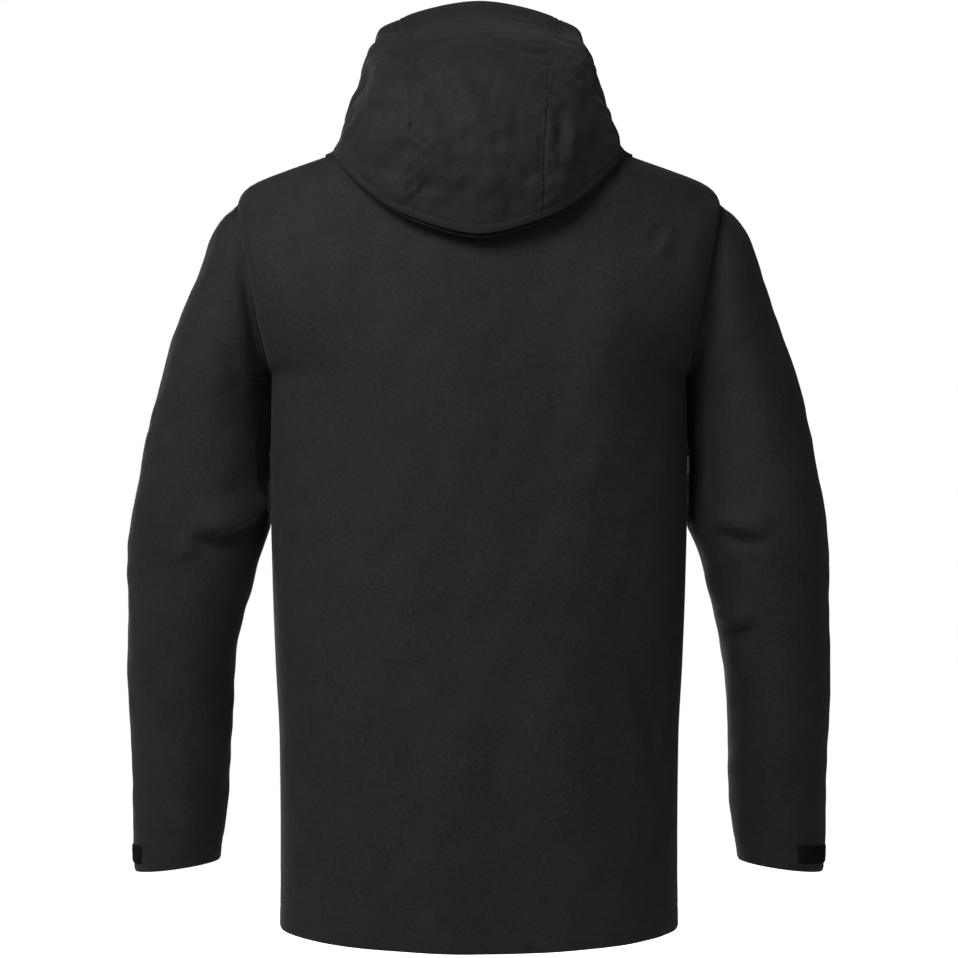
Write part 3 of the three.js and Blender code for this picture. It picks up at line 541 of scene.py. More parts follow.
def folds(points, creases):
    """How far the cloth is pushed out by creases, each (path of (x, z) points, width, height, lean). A lean over 1
    makes the side to the right of the path slope more gently."""
    push = np.zeros(points.shape[:-1])
    flat = points[..., (0, 2)]
    for path, width, height, lean in creases:
        corners = np.array(path, float)
        far = np.insert(np.cumsum(np.linalg.norm(np.diff(corners, axis=0), axis=1)), 0, 0)
        marks = np.linspace(0, far[-1], 40)
        walk = np.stack([through(*zip(far, corners[:, c]))(marks) for c in (0, 1)], -1)
        near = np.abs(flat - walk.mean(0)).max(-1) < far[-1] / 2 + 4 * width * max(1, lean) + 20
        chosen = flat[near]
        gaps = chosen[:, None, :] - walk[None]
        apart = np.linalg.norm(gaps, axis=-1)
        nearest = apart.argmin(1)
        ahead = np.gradient(walk, axis=0)[nearest]
        gap = gaps[np.arange(len(chosen)), nearest]
        side = np.sign(ahead[:, 0] * gap[:, 1] - ahead[:, 1] * gap[:, 0])
        share = nearest / (len(walk) - 1)
        taper = np.sin(np.pi * np.clip(share, 0.0, 1.0)) ** 0.7
        push[near] += height * taper * fold_profile(side * apart.min(1), width, lean)
    return push


back_creases = [
    ([(190, -110), (183, -122), (176, -136)], 5, 3.2, 1.6),
    ([(184, -104), (176, -118), (170, -128)], 6, -2.2, 1.4),
    ([(-188, -106), (-180, -120), (-172, -134)], 5, 3.2, 1.6),
    ([(-180, -100), (-172, -112), (-166, -124)], 6, -2.2, 1.4),
    ([(-150, -520), (-178, -610), (-196, -700)], 14, -6.0, 1.4),
    ([(-172, -560), (-190, -640), (-199, -780)], 10, 6.0, 1.5),
    ([(196, -560), (190, -660), (196, -780)], 14, 3.0, 1.3),
    ([(150, -130), (120, -230), (100, -330)], 36, 3.0, 1.0),
    ([(-150, -150), (-125, -220), (-110, -320)], 36, 2.4, 1.0),
    ([(90, -160), (30, -360), (-20, -560)], 60, 3.0, 1.0),
    ([(150, -420), (140, -560), (150, -720)], 40, 3.2, 1.0),
    ([(-60, -420), (-85, -560), (-110, -740)], 45, 3.0, 1.0),
]


def back_shape(points):
    """The loose hang of the back: broad soft undulations, easing off at its seams."""
    x, z = points[..., 0], points[..., 2]
    side_seam = smooth((edge_x(z) - np.abs(x)) / 26)
    below_neck = smooth((-z - 12) / 60)
    hang = 1.7 * wander(points * (1, 1, 0.45), 60, 11) + 0.45 * wander(points, 22, 12)
    return (hang + folds(points, back_creases)) * side_seam * below_neck


hem_turn = 22  # height of the turned-up hem
hem_rows = (0, hem_turn - 4, hem_turn)


def body_rows(extra=hem_rows):
    """Rows up a body panel: even to the shoulder blades, then closer where the shoulders round over."""
    low = divided(690, 5.0, from_start=extra) * 0.86
    high = 0.86 + 0.14 * (1 - (1 - np.linspace(0, 1, 40)[1:]) ** 2.2)
    return np.concatenate([low, high])


def hem_thickness(points):
    """The laminate, turned up and doubled at the hem."""
    share = np.abs(points[..., 0]) / edge_x(hem_z)
    up = points[..., 2] - np.where(points[..., 1] > 0, hem_height(1, share), hem_z)
    return np.where(up < hem_turn, hem_laps, laminate)


half_columns = divided(290, 4.5, from_end=(0, 6))
back_columns = np.concatenate([-half_columns[:0:-1], half_columns])
back = cloth(
    "back_panel_cloth",
    panel_point(1, lambda a, z: a),
    back_columns,
    body_rows(),
    facing=-1,
    shape=back_shape,
    relief=[
        ("first", closed), ("last", closed), ("low", stitched(hem_turn, 0.5)), ("low", rolled), ("high", closed),
    ],
    thick=hem_thickness,
)
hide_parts("back_panel")
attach(back, "jacket_body")


# ------------------------------------------------------------------ fronts
# Two fronts meet at the zip. Each is one panel from the shoulder to the hem. Below the waist, where the zip is
# undone, a fold line is set out from the waist to the hem, but nothing is bent along it.
zip_edge = 9.95
split_z = -420
fold_hem_x = 150
sides = {"left": 1, "right": -1}


def fold_x(z):
    return zip_edge + (fold_hem_x - zip_edge) * np.maximum(0, split_z - z) / (split_z - hem_z)


fold_top = np.array([zip_edge, -front_line(split_z), split_z])
fold_foot = np.array([fold_hem_x, body_point(-1, np.array(150.0), np.array(-795.0))[1], hem_z])
fold_line = unit(fold_foot - fold_top)
towards_zip = unit(np.cross(fold_line, (0, 1, 0)))
if towards_zip[0] > 0:
    towards_zip = -towards_zip


def bend_at_fold(piece):
    """Bakes the piece's placement into its mesh; nothing turns at the fold line."""
    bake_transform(piece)


def mirrored(point, hand):
    return lambda a, b: point(a, b) * (sides[hand], 1, 1)


def share_at_zip(z):
    return np.arcsin(np.clip(zip_edge / edge_x(z), -1, 1)) * 2 / math.pi


def front_shape(points):
    x, z = np.abs(points[..., 0]), points[..., 2]
    ease = smooth((edge_x(z) - x) / 26) * smooth((-z - 20) / 80) * smooth((x - zip_edge) / 45)
    return (1.6 * wander(points * (1, 1, 0.5), 58, 21) + 0.4 * wander(points, 24, 22)) * ease


front_columns = divided(300, 4.8, from_start=(0, 6), from_end=(0, 6))
for hand in sides:
    front = cloth(
        "front_panel_cloth_" + hand,
        mirrored(panel_point(-1, lambda a, z: lerp(share_at_zip(z), 1, a)), hand),
        front_columns,
        body_rows(),
        facing=sides[hand],
        shape=front_shape,
        relief=[
            ("last", rolled), ("low", stitched(hem_turn, 0.5)), ("low", rolled), ("high", rolled),
            ("first", rolled), ("first", stitched(6)),
        ],
        thick=hem_thickness,
    )
    bend_at_fold(front)
    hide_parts("front_panel_" + hand, "front_corner_" + hand, "front_fold_" + hand)
    seams = stitching(
        "front_stitching_" + hand,
        [
            edge_line("front_panel_cloth_" + hand, "low", hem_turn),
            edge_line("front_panel_cloth_" + hand, "first", 6),
        ],
    )
    bend_at_fold(seams)

hem_seam = stitching("back_hem_stitching", [edge_line("back_panel_cloth", "low", hem_turn)])
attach(hem_seam, "jacket_body")

# ------------------------------------------------------------------ hem channel
# Inside the back hem a strip of the lining knit makes a channel for an elastic cord, so that the hem can be drawn
# in. The cord comes out near each side seam, where a cord lock with a sprung button holds it.
channel_share = 0.86
cord_radius = 1.5
channel_room = 2 * cord_radius + 2


def channel_x(t):
    return quarter(lerp(-channel_share, channel_share, t), np.full(np.shape(t), float(hem_z)))


def channel_point(a, b):
    x = channel_x(a)
    z = hem_height(1, np.abs(x) / edge_x(hem_z)) + 2.5 + b * 20
    return body_point(1, x, z)


def channel_depth(points):
    up = (points[..., 2] - hem_height(1, np.abs(points[..., 0]) / edge_x(hem_z)) - 2.5) / 20
    return -hem_laps - 0.9 - channel_room * np.sin(math.pi * np.clip(up, 0, 1))


facing_strip = cloth(
    "hem_facing_cloth", channel_point, divided(480, 6), divided(20, 2), facing=-1, shape=channel_depth,
    thick=0.7, outside=backer,
)
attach(facing_strip, "jacket_body")
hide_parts("hem_facing_back")


def tube(path, radius, sides_round=14):
    """Points and faces of a round bar along a path, closed at both ends."""
    path = np.asarray(path, float)
    ahead = unit(np.gradient(path, axis=0))
    side = unit(np.cross(ahead, np.where(np.abs(ahead[:, 2:]) > 0.9, (1.0, 0, 0), (0, 0, 1.0))))
    up = np.cross(side, ahead)
    turns = np.arange(sides_round) * 2 * math.pi / sides_round
    radii = np.broadcast_to(radius, len(path))
    rings = path[:, None] + radii[:, None, None] * (
        np.cos(turns)[None, :, None] * side[:, None] + np.sin(turns)[None, :, None] * up[:, None]
    )
    n = sides_round
    faces = [
        [r * n + (s + 1) % n, r * n + s, (r + 1) * n + s, (r + 1) * n + (s + 1) % n]
        for r in range(len(path) - 1)
        for s in range(n)
    ]
    faces += [list(range(n)), list(range((len(path) - 1) * n, len(path) * n))[::-1]]
    return rings.reshape(-1, 3), faces


braid = woven(
    "braided_cord", (0.012, 0.012, 0.012), (0.03, 0.03, 0.03), 0.6, 0.6, 0.08, speckle=0.8, Specular_IOR_Level=0.4
)
along_channel = np.linspace(0, 1, 90)
cord_x = channel_x(along_channel)
cord_z = hem_height(1, np.abs(cord_x) / edge_x(hem_z)) + 12
outer = body_point(1, cord_x, cord_z)
inward = unit(np.gradient(outer, axis=0)) @ np.array([[0, 1, 0], [-1, 0, 0], [0, 0, 0]])
inward = inward * np.sign((inward * -outer).sum(-1, keepdims=True))
hem_cord = joined("hem_cord", [tube(outer + inward * (hem_laps + 0.9 + channel_room / 2), cord_radius)], braid)
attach(hem_cord, "jacket_body")
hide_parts("hem_drawcord")


def moulded(name, colour, roughness, grain, **settings):
    """Moulded plastic, rubber or painted metal: a fine grain, with small changes in gloss."""
    made, nodes, links, shader = material(name, roughness, **settings)
    place = nodes.new("ShaderNodeTexCoord")
    texture = nodes.new("ShaderNodeTexNoise")
    texture.inputs["Scale"].default_value = 1000 / grain
    texture.inputs["Detail"].default_value = 4
    links.new(place.outputs["Object"], texture.inputs["Vector"])
    shade = nodes.new("ShaderNodeMix")
    shade.data_type = "RGBA"
    shade.inputs[6].default_value = (*[c * 0.75 for c in colour], 1)
    shade.inputs[7].default_value = (*[c * 1.3 for c in colour], 1)
    links.new(texture.outputs["Fac"], shade.inputs[0])
    links.new(shade.outputs[2], shader.inputs["Base Color"])
    gloss = nodes.new("ShaderNodeMapRange")
    gloss.inputs["To Min"].default_value = roughness - 0.1
    gloss.inputs["To Max"].default_value = roughness + 0.1
    links.new(texture.outputs["Fac"], gloss.inputs["Value"])
    links.new(gloss.outputs["Result"], shader.inputs["Roughness"])
    relief = nodes.new("ShaderNodeBump")
    relief.inputs["Strength"].default_value = 0.5
    relief.inputs["Distance"].default_value = 0.06 * mm
    links.new(texture.outputs["Fac"], relief.inputs["Height"])
    links.new(relief.outputs["Normal"], shader.inputs["Normal"])
    return made


black_plastic = moulded("black_moulded_plastic", (0.012, 0.012, 0.013), 0.42, 0.5)


def turned(name, profile, middle, paint, segments=40):
    """A part turned about an upright axis, from (radius, height) pairs in millimetres above its foot."""
    profile = np.array(profile, float)
    angles = np.arange(segments) * 2 * math.pi / segments
    n = len(profile)
    rings = np.stack(
        [
            profile[None, :, 0] * np.cos(angles)[:, None],
            profile[None, :, 0] * np.sin(angles)[:, None],
            np.broadcast_to(profile[None, :, 1], (segments, n)),
        ],
        -1,
    ).reshape(-1, 3) + middle
    faces = [
        [s * n + k, ((s + 1) % segments) * n + k, ((s + 1) % segments) * n + k + 1, s * n + k + 1]
        for s in range(segments)
        for k in range(n - 1)
    ]
    faces += [[s * n for s in range(segments)][::-1], [s * n + n - 1 for s in range(segments)]]
    return joined(name, [(rings, faces)], paint)


def place_of(node):
    """The middle of a node's foot, back in millimetres about the neck."""
    low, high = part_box(node)
    return np.array([(low.x + high.x) / 2, (low.y + high.y) / 2 - neck_y, low.z - neck_z]) / mm


def cord_lock(set_name, hand):
    lock_node, button_node = set_name + "_cord_lock_" + hand, set_name + "_lock_button_" + hand
    housing = turned(
        lock_node + "_housing",
        [
            (0.02, 0), (5.2, 0), (6.3, 0.5), (6.9, 1.5), (7, 3.5), (6.5, 4), (6.5, 4.6), (7, 5.1), (7, 8), (6.5, 8.5),
            (6.5, 9.1), (7, 9.6), (7, 13), (6.8, 14.2), (6.2, 14.9), (5.6, 15), (5.1, 14.6), (5, 14), (5, 6.2),
            (0.02, 6),
        ],
        place_of(lock_node),
        black_plastic,
    )
    button = turned(
        button_node + "_cap",
        [(0.02, 0), (4.3, 0), (4.6, 0.4), (4.6, 8.6), (4.4, 9.4), (3.8, 10), (2.4, 10.05), (1.6, 9.8), (0.02, 9.7)],
        place_of(button_node),
        black_plastic,
    )
    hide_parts(lock_node)
    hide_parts(button_node)
    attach(housing, "jacket_body")
    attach(button, hand + "_" + set_name + "_button")


for hand in sides:
    cord_lock("hem", hand)

# ------------------------------------------------------------------ sleeves
# Each sleeve is cut from the same laminate, set into the armhole with a taped seam, shaped forward at the elbow,
# and closed with a seam along its inside. The cuff is turned up 22 mm and stitched.
stations = np.array([
    [239.4, -73.8, 207.0, -246, 62.8, 0], [263, -100, 206.6, -249, 69, 0], [287, -157, 206.4, -253, 72, 0],
    [305, -210, 206.8, -257, 73, 0], [319, -256, 208, -262, 72, 0], [338, -335, 215, -335, 69, 2],
    [347, -386, 213, -386, 67, 3], [351, -450, 225, -446, 63, -2], [352, -530, 243, -524, 58, -12],
    [351, -620, 250, -613, 54, -26], [350, -700, 257, -692, 50, -37], [349, -745, 262, -734, 48, -42],
])
sleeve_parts = [through(*enumerate(column)) for column in stations.T]
cuff_end = len(stations) - 1
sleeve_split = 5.75
lean_turn, lean_spread = 224, 30  # where round the sleeve it leans on the side of the body, in degrees
lean_small, lean_full = 4, 16  # how far it leans just below the armpit and beside the waist


def sleeve_point(station, turn):
    out_x, out_z, in_x, in_z, deep, mid_y = (part(station) for part in sleeve_parts)
    angle = np.radians(turn)
    reach = np.cos(angle) / 2
    leaning = lerp(lean_small, lean_full, smooth((station - 2.4) / 1.6))
    leaning = leaning * smooth((station - 0.3) / 0.7) * smooth((6.9 - station) / 0.8)
    touching = leaning * np.exp(-(((np.mod(turn, 360) - lean_turn) / lean_spread) ** 2))
    return np.stack(
        [
            (out_x + in_x) / 2 + (out_x - in_x) * reach - touching,
            mid_y + deep * np.sin(angle),
            (out_z + in_z) / 2 + (out_z - in_z) * reach,
        ],
        -1,
    )


sleeve_creases = {
    "left": [
        ([(234, -112), (224, -170), (214, -235), (211, -320), (211, -392)], 9, -8.0, 1.0),
        ([(284, -398), (262, -399), (238, -393), (208, -368)], 5, 9.0, 5.0),
        ([(284, -408), (258, -411), (234, -405), (208, -388)], 11, -8.0, 0.7),
        ([(302, -426), (286, -421), (268, -413)], 6, 4.0, 2.4),
        ([(256, -212), (240, -238), (226, -262)], 8, -3.4, 1.8),
        ([(250, -150), (240, -190), (232, -230)], 12, 3.0, 1.6),
        ([(268, -470), (252, -484), (234, -494)], 9, -3.6, 1.8),
        ([(262, -540), (250, -600), (256, -660)], 10, -2.6, 1.7),
        ([(292, -604), (284, -616), (276, -628)], 6, -2.6, 1.8),
        ([(300, -640), (292, -690), (286, -724)], 10, 2.0, 1.6),
        ([(262, -640), (266, -690), (262, -726)], 8, -2.2, 1.8),
        ([(228, -300), (246, -336), (262, -362)], 14, 2.6, 1.4),
        ([(330, -300), (318, -360), (306, -420)], 24, 2.0, 1.3),
    ],
    "right": [
        ([(-236, -112), (-226, -170), (-218, -235), (-214, -320), (-214, -396)], 14, -10.0, 1.0),
        ([(-228, -388), (-250, -397), (-286, -401)], 5, 6.0, 4.0),
        ([(-228, -398), (-252, -408), (-286, -413)], 10, -5.5, 0.8),
        ([(-234, -480), (-250, -491), (-274, -484)], 5, 5.4, 3.0),
        ([(-234, -491), (-252, -501), (-278, -496)], 9, -5.0, 1.0),
        ([(-252, -212), (-238, -250), (-228, -300)], 10, -3.0, 1.8),
        ([(-254, -530), (-250, -600), (-262, -670)], 12, -2.4, 1.7),
        ([(-296, -560), (-290, -620), (-286, -690)], 16, 2.0, 1.6),
        ([(-268, -600), (-276, -650), (-270, -716)], 9, -2.0, 1.6),
        ([(-330, -300), (-318, -360), (-306, -420)], 24, 2.0, 1.3),
    ],
}


def sleeve_shape(hand, stations_at):
    def shape(points):
        at = stations_at(points)
        ease = smooth(at / 0.5) * smooth((cuff_end - at) / 0.7)
        loose = 1.5 * wander(points * (1, 1, 0.7), 46, 31 + sides[hand])
        loose = loose + 0.4 * wander(points, 18, 35 + sides[hand])
        behind = smooth((points[..., 1] + 12) / 36)
        return (loose + folds(points, sleeve_creases[hand]) * behind) * ease

    return shape


sleeve_rows = []
for k in range(cuff_end):
    long = np.linalg.norm(stations[k + 1, :2] - stations[k, :2])
    part = divided(
        long, 4.6,
        from_start=(0, 6) if k == 0 else (),
        from_end=(0, hem_turn - 4, hem_turn) if k == cuff_end - 1 else (),
    )
    sleeve_rows += list(k + part[:-1])
    if k == 5:
        sleeve_rows.append(sleeve_split)
sleeve_rows = np.unique(np.array(sleeve_rows + [cuff_end]))
split_row = int(np.searchsorted(sleeve_rows, sleeve_split))
sleeve_columns = divided(400, 4.6, from_start=(0,), from_end=(0,))
station_grid = np.broadcast_to(sleeve_rows, (len(sleeve_columns), len(sleeve_rows)))

halves = {
    "upper": (slice(0, split_row + 1), ("sleeve_head_", "upper_sleeve_"), 0.24),
    "lower": (slice(split_row, None), ("elbow_section_", "forearm_sleeve_"), 0.38),
}
for hand in sides:
    for half, (rows_kept, nodes_replaced, tall) in halves.items():
        sleeve = cloth(
            half + "_sleeve_cloth_" + hand,
            mirrored(lambda a, b: sleeve_point(b, 180 + 360 * a), hand),
            sleeve_columns,
            sleeve_rows,
            facing=-sides[hand],
            shape=sleeve_shape(hand, lambda points: station_grid),
            relief=[("low", closed), ("low", lapped(7, 0.3)), ("high", stitched(hem_turn, 0.5)), ("high", rolled)],
            thick=lambda face: np.where(lengths(face, "high") < hem_turn, hem_laps, laminate),
            keep=rows_kept,
        )
        flip = (sides[hand], 1, 1)
        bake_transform(sleeve)
        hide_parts(*(node + hand for node in nodes_replaced))
    armhole_seam = stitching("armhole_stitching_" + hand, [edge_line("upper_sleeve_cloth_" + hand, "low", 6)])
    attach(armhole_seam, "jacket_body")
    cuff_seam = stitching("cuff_stitching_" + hand, [edge_line("lower_sleeve_cloth_" + hand, "high", hem_turn)])
    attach(cuff_seam, hand + "_forearm")

# ------------------------------------------------------------------ cuff closing
# A soft loop patch is sewn round the outside of each cuff, and a moulded tab, sewn on at the inside of the wrist
# and hooked on its underside, closes over it.
patch_top, patch_bottom = 10.35, 10.8
patch_front = -70
patch_back = {"left": 42, "right": 72}
tab_sewn, tab_tip = -150, -18
napped = woven(
    "napped_loop", (0.0015, 0.0015, 0.0015), (0.012, 0.012, 0.012), 0.95, 0.9, 0.55, speckle=1.2,
    Specular_IOR_Level=0.1, Sheen_Weight=0.0,
)
soft_tab = moulded("moulded_tab", (0.010, 0.010, 0.0105), 0.55, 0.7)


def napped_height(points):
    return 1.5 + 0.22 * wander(points, 1.6, 41)


for hand in sides:
    patch = cloth(
        "cuff_loop_tape_" + hand,
        mirrored(
            lambda a, b: sleeve_point(
                lerp(patch_top, patch_bottom, b), lerp(patch_front, patch_back[hand], a)
            ),
            hand,
        ),
        divided(110, 1.6), divided(20, 1.6),
        facing=-sides[hand],
        shape=napped_height,
        relief=[
            (edge, lambda far: -1.0 * np.exp(-((far / 1.2) ** 2))) for edge in ("first", "last", "low", "high")
        ],
        thick=1.7,
        outside=napped, inside=napped,
    )
    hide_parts("cuff_loop_patch_" + hand)
    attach(patch, hand + "_forearm")

    def tab_point(a, b):
        turn = lerp(tab_sewn, tab_tip, a)
        tip = np.sqrt(np.maximum(0, 1 - np.maximum(0, (a - 0.88) / 0.12) ** 2 * 0.75))
        station = lerp(patch_top, patch_bottom, 0.5 + (b - 0.5) * 1.1 * tip)
        lift = 0.35 + 1.85 * np.clip((turn - tab_sewn) / 45, 0, 1) + 1.8
        p = sleeve_point(station, turn)
        away = p - sleeve_point(station, turn + 180)
        away[..., 2] = 0
        return p + unit(away) * lift[..., None]

    tab = cloth(
        "cuff_tab_moulding_" + hand,
        mirrored(tab_point, hand),
        divided(120, 2.4, from_end=(0,)), divided(22, 2.0, from_start=(0,), from_end=(0,)),
        facing=-sides[hand],
        shape=lambda points: np.zeros(points.shape[:-1]),
        relief=[
            (edge, lambda far: -0.7 * np.exp(-((far / 1.1) ** 2)) - 0.25 * np.exp(-(((far - 3.4) / 0.9) ** 2)))
            for edge in ("first", "last", "low", "high")
        ],
        thick=1.1,
        outside=soft_tab, inside=napped,
    )
    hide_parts("cuff_tab_" + hand)
    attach(tab, hand + "_cuff_tab")
    sewn_end = stitching(
        "cuff_tab_stitching_" + hand,
        [edge_line("cuff_tab_moulding_" + hand, "first", 4), edge_line("cuff_tab_moulding_" + hand, "first", 8)],
    )
    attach(sewn_end, hand + "_cuff_tab")

# ------------------------------------------------------------------ collar and hang loop
# The collar stands up from the neck seam, 46 mm high at the back, and is lined with the knit. A loop of ribbed
# tape for a coat hook is barred on at the middle of its back.
collar_back_high = 46
collar_round = 66
collar_back_y = 64
zip_top_z = 6


def outward(p):
    return unit(np.stack([p[..., 0], p[..., 1] * 0.8, 0 * p[..., 0]], -1))


def neckline(turn):
    angle = np.radians(turn)
    across = neck_half * np.sin(angle)
    front, rear = (
        body_point(side, across, -neck_drop[side] * np.abs(np.cos(angle))) for side in (-1, 1)
    )
    return np.where((turn < 90)[..., None], front, rear)


def collar_point(turn, up):
    """turn is 0 at the centre front and 180 at the centre back, and up is 0 at the neck seam and 1 at the top."""
    angle = np.radians(turn)
    low = neckline(turn)
    low = low - outward(low) * (1.2 * np.sin(angle))[..., None] + (0, 0, 1.4)
    front = ((1 + np.cos(angle)) / 2) ** 1.5
    top_front_y = front_line(zip_top_z)
    high = np.stack(
        [
            collar_round * np.sin(angle),
            (collar_back_y - top_front_y) / 2 - (collar_back_y + top_front_y) / 2 * np.cos(angle),
            lerp(collar_back_high, zip_top_z, front),
        ],
        -1,
    )
    p = lerp(low, high, up[..., None])
    swell = 3 * np.sin(math.pi * up) * np.minimum(1, np.sin(angle) * 3)
    p = p + outward(p) * swell[..., None]
    p[..., 0] = np.where(turn < 90, np.maximum(p[..., 0], zip_edge), p[..., 0])
    return p


def both_sides(point, turn, *rest):
    p = point(np.where(turn > 180, 360 - turn, turn), *rest)
    p[..., 0] = np.where(turn > 180, -p[..., 0], p[..., 0])
    return p


front_turn = 7.6
collar = cloth(
    "collar_cloth",
    lambda a, b: both_sides(collar_point, lerp(front_turn, 360 - front_turn, a), b),
    divided(420, 4), divided(50, 4, from_start=(0, 5), from_end=(0,)),
    facing=1,
    shape=lambda points: np.full(points.shape[:-1], 1.6),
    relief=[("low", rolled), ("low", stitched(5)), ("high", rolled)],
    thick=1.6,
)
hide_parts("collar")
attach(collar, "jacket_body")
collar_seam = stitching("collar_stitching", [edge_line("collar_cloth", "low", 5)])
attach(collar_seam, "jacket_body")

loop_low, loop_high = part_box("hang_loop")
loop_half = (loop_high.x - loop_low.x) / 2 / mm - 1.4
loop_back = (loop_high.y - neck_y) / mm
loop_stand = (loop_high.y - loop_low.y) / mm - 1.4
ribbed_tape = woven(
    "ribbed_tape", (0.012, 0.012, 0.013), (0.028, 0.028, 0.03), 0.62, 1.0, 0.16, speckle=1.4, Specular_IOR_Level=0.4
)


def loop_point(a, b):
    x = lerp(-loop_half, loop_half, a)
    y = loop_back - loop_stand * np.cos(np.clip(x / loop_half, -1, 1) * math.pi / 2) ** 0.6
    z = lerp(loop_low.z, loop_high.z, b) / mm - neck_z / mm
    return np.stack([x, y, z], -1)


loop_share = (1 - np.cos(np.linspace(0, math.pi, 61))) / 2
hang_tape = cloth(
    "hang_loop_tape", loop_point, loop_share, divided(9, 1.1), facing=1,
    relief=[(edge, lambda far: -0.25 * np.exp(-((far / 0.9) ** 2))) for edge in ("low", "high")],
    thick=-1.1, outside=ribbed_tape, inside=ribbed_tape,
)
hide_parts("hang_loop")
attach(hang_tape, "jacket_body")

for hand in sides:
    cord_lock("hood", hand)

# ------------------------------------------------------------------ hood
# The hood is cut in six panels: a centre strip and two sides, each in a front and a back part, so that seams run
# lengthwise over the head and once across it. A thin stiff peak sits inside the front edge.
hood_rest = 7
hood_outside = 1.6  # the outer face stands off the line that the panels are sewn to
seam_across = 3
arch_points = 8
seam_middle, seam_side = 3.5, 2.8  # how many arches back the cross seam lies, on the crown and at the ears
peak_rise, peak_droop, peak_corner = 3, 9, 102  # the stiff peak stands up in the middle and bends down to its corners
ear_tuck = 6  # how far the loose cloth at the ears sinks in


def shoulder_height(x, y):
    """The height of the shoulders' outer face at a place seen from above."""
    x, y = np.broadcast_arrays(np.asarray(x, float), np.asarray(y, float))
    low, high = np.full(x.shape, -230.0), np.zeros(x.shape)
    for _ in range(40):
        z = (low + high) / 2
        reach = np.where(y > 0, np.abs(body_point(1, x, z)[..., 1]), np.abs(body_point(-1, x, z)[..., 1]))
        inside = (np.abs(x) < edge_x(z)) & (reach > np.abs(y))
        low, high = np.where(inside, z, low), np.where(inside, high, z)
    return low


def on_shoulder(x, y):
    return [x, y, float(shoulder_height(x, y)) + hood_rest]


half_arches = np.array([
    [on_shoulder(80, -58), [101, -96, 20], [107, -108, 111], [83, -112, 127], [0, -115, 144]],
    [on_shoulder(98, -44), [118, -62, 22], [109, -66, 92], [78, -73, 109], [0, -78, 125]],
    [on_shoulder(114, -28), [129, -20, 20], [108, -14, 82], [73, -21, 97], [0, -24, 110]],
    [on_shoulder(130, -8), [134, 28, 12], [105, 48, 58], [69, 52, 73], [0, 58, 84]],
    [on_shoulder(142, 12), [136, 66, -6], [101, 102, 18], [66, 118, 27], [0, 128, 34]],
    [on_shoulder(149, 30), [137, 82, -30], [99, 118, -40], [63, 138, -38], [0, 147, -36]],
    [on_shoulder(150, 38), [135, 86, -44], [99, 112, -78], [61, 124, -99], [0, 130, -114]],
])
hood_arches = np.concatenate([half_arches, half_arches[:, 3::-1] * (-1, 1, 1)], axis=1)
last_arch = len(hood_arches) - 1


def curve_at(knots, t):
    """A smooth curve through knots (first axis) at places t, where knots sit at 0, 1, 2 and so on."""
    padded = np.concatenate([2 * knots[:1] - knots[1:2], knots, 2 * knots[-1:] - knots[-2:-1]])
    i = np.clip(np.floor(t).astype(int), 0, len(knots) - 2)
    w = (t - i)[..., None]
    if knots.ndim == 2:
        p = [padded[i + k] for k in range(4)]
    else:
        spot = np.arange(len(t))
        p = [padded[i + k, spot] for k in range(4)]
    first, second = (p[2] - p[0]) / 2, (p[3] - p[1]) / 2
    bend = -3 * p[1] + 3 * p[2] - 2 * first - second
    return p[1] + first * w + bend * w**2 + (2 * p[1] - 2 * p[2] + first + second) * w**3


def hood_point(across, rear):
    """The hood's outer face at a place across the arches and a number of arches back from the brim."""
    across, rear = np.broadcast_arrays(across, rear)
    flat_rear, flat_across = rear.ravel().astype(float), across.ravel().astype(float)
    lines = np.stack([curve_at(hood_arches[:, c], flat_rear) for c in range(arch_points + 1)])
    points = curve_at(lines, flat_across).reshape(*across.shape, 3)
    at_peak = np.exp(-(rear**2)) * smooth((points[..., 2] - 60) / 40)
    points[..., 2] += at_peak * (peak_rise - peak_droop * (np.abs(points[..., 0]) / peak_corner) ** 6)
    return points


hood_creases = [
    ([(46, 52), (26, 60), (2, 64), (-20, 60)], 5, 1.0, 2.2),
    ([(92, -14), (66, -22), (44, -34), (14, -44)], 6, 3.0, 2.0),
    ([(64, -8), (54, -20), (46, -32)], 6, -3.8, 1.5),
    ([(58, -22), (50, -34), (44, -36)], 5, 2.6, 1.5),
    ([(118, 8), (100, 18), (74, 30), (58, 44)], 7, 2.2, 1.8),
    ([(116, -10), (92, 4), (66, 10)], 8, -2.6, 1.6),
    ([(108, -44), (92, -32), (66, -12)], 7, 2.6, 1.8),
    ([(88, -62), (76, -44), (72, -24)], 7, -2.4, 1.8),
    ([(56, -86), (50, -68), (48, -48)], 6, -2.6, 1.6),
    ([(30, -62), (4, -70), (-24, -66)], 12, 2.0, 1.4),
    ([(-72, 8), (-77, -12), (-74, -40)], 5, -4.0, 1.7),
    ([(-84, 14), (-87, -16), (-80, -50)], 8, 3.0, 1.6),
    ([(-54, 44), (-72, 34), (-96, 20)], 6, 2.4, 1.8),
    ([(-58, 34), (-74, 22), (-88, 4)], 6, -2.8, 1.6),
    ([(-30, 56), (-52, 46), (-66, 34)], 6, 1.4, 1.8),
    ([(-96, 44), (-104, 28), (-106, 8)], 6, -2.2, 1.7),
    ([(24, 2), (-8, -10), (-38, -6)], 10, 2.4, 1.6),
    ([(-16, -34), (-44, -44), (-64, -62)], 9, 2.4, 1.6),
    ([(30, 28), (6, 22), (-26, 30)], 9, -2.0, 1.6),
    ([(-92, -30), (-106, -10), (-118, 4)], 8, 2.6, 1.7),
    ([(104, -66), (84, -76), (60, -84)], 9, 2.2, 1.5),
    ([(-44, -80), (-70, -70), (-92, -56)], 10, 2.0, 1.5),
]


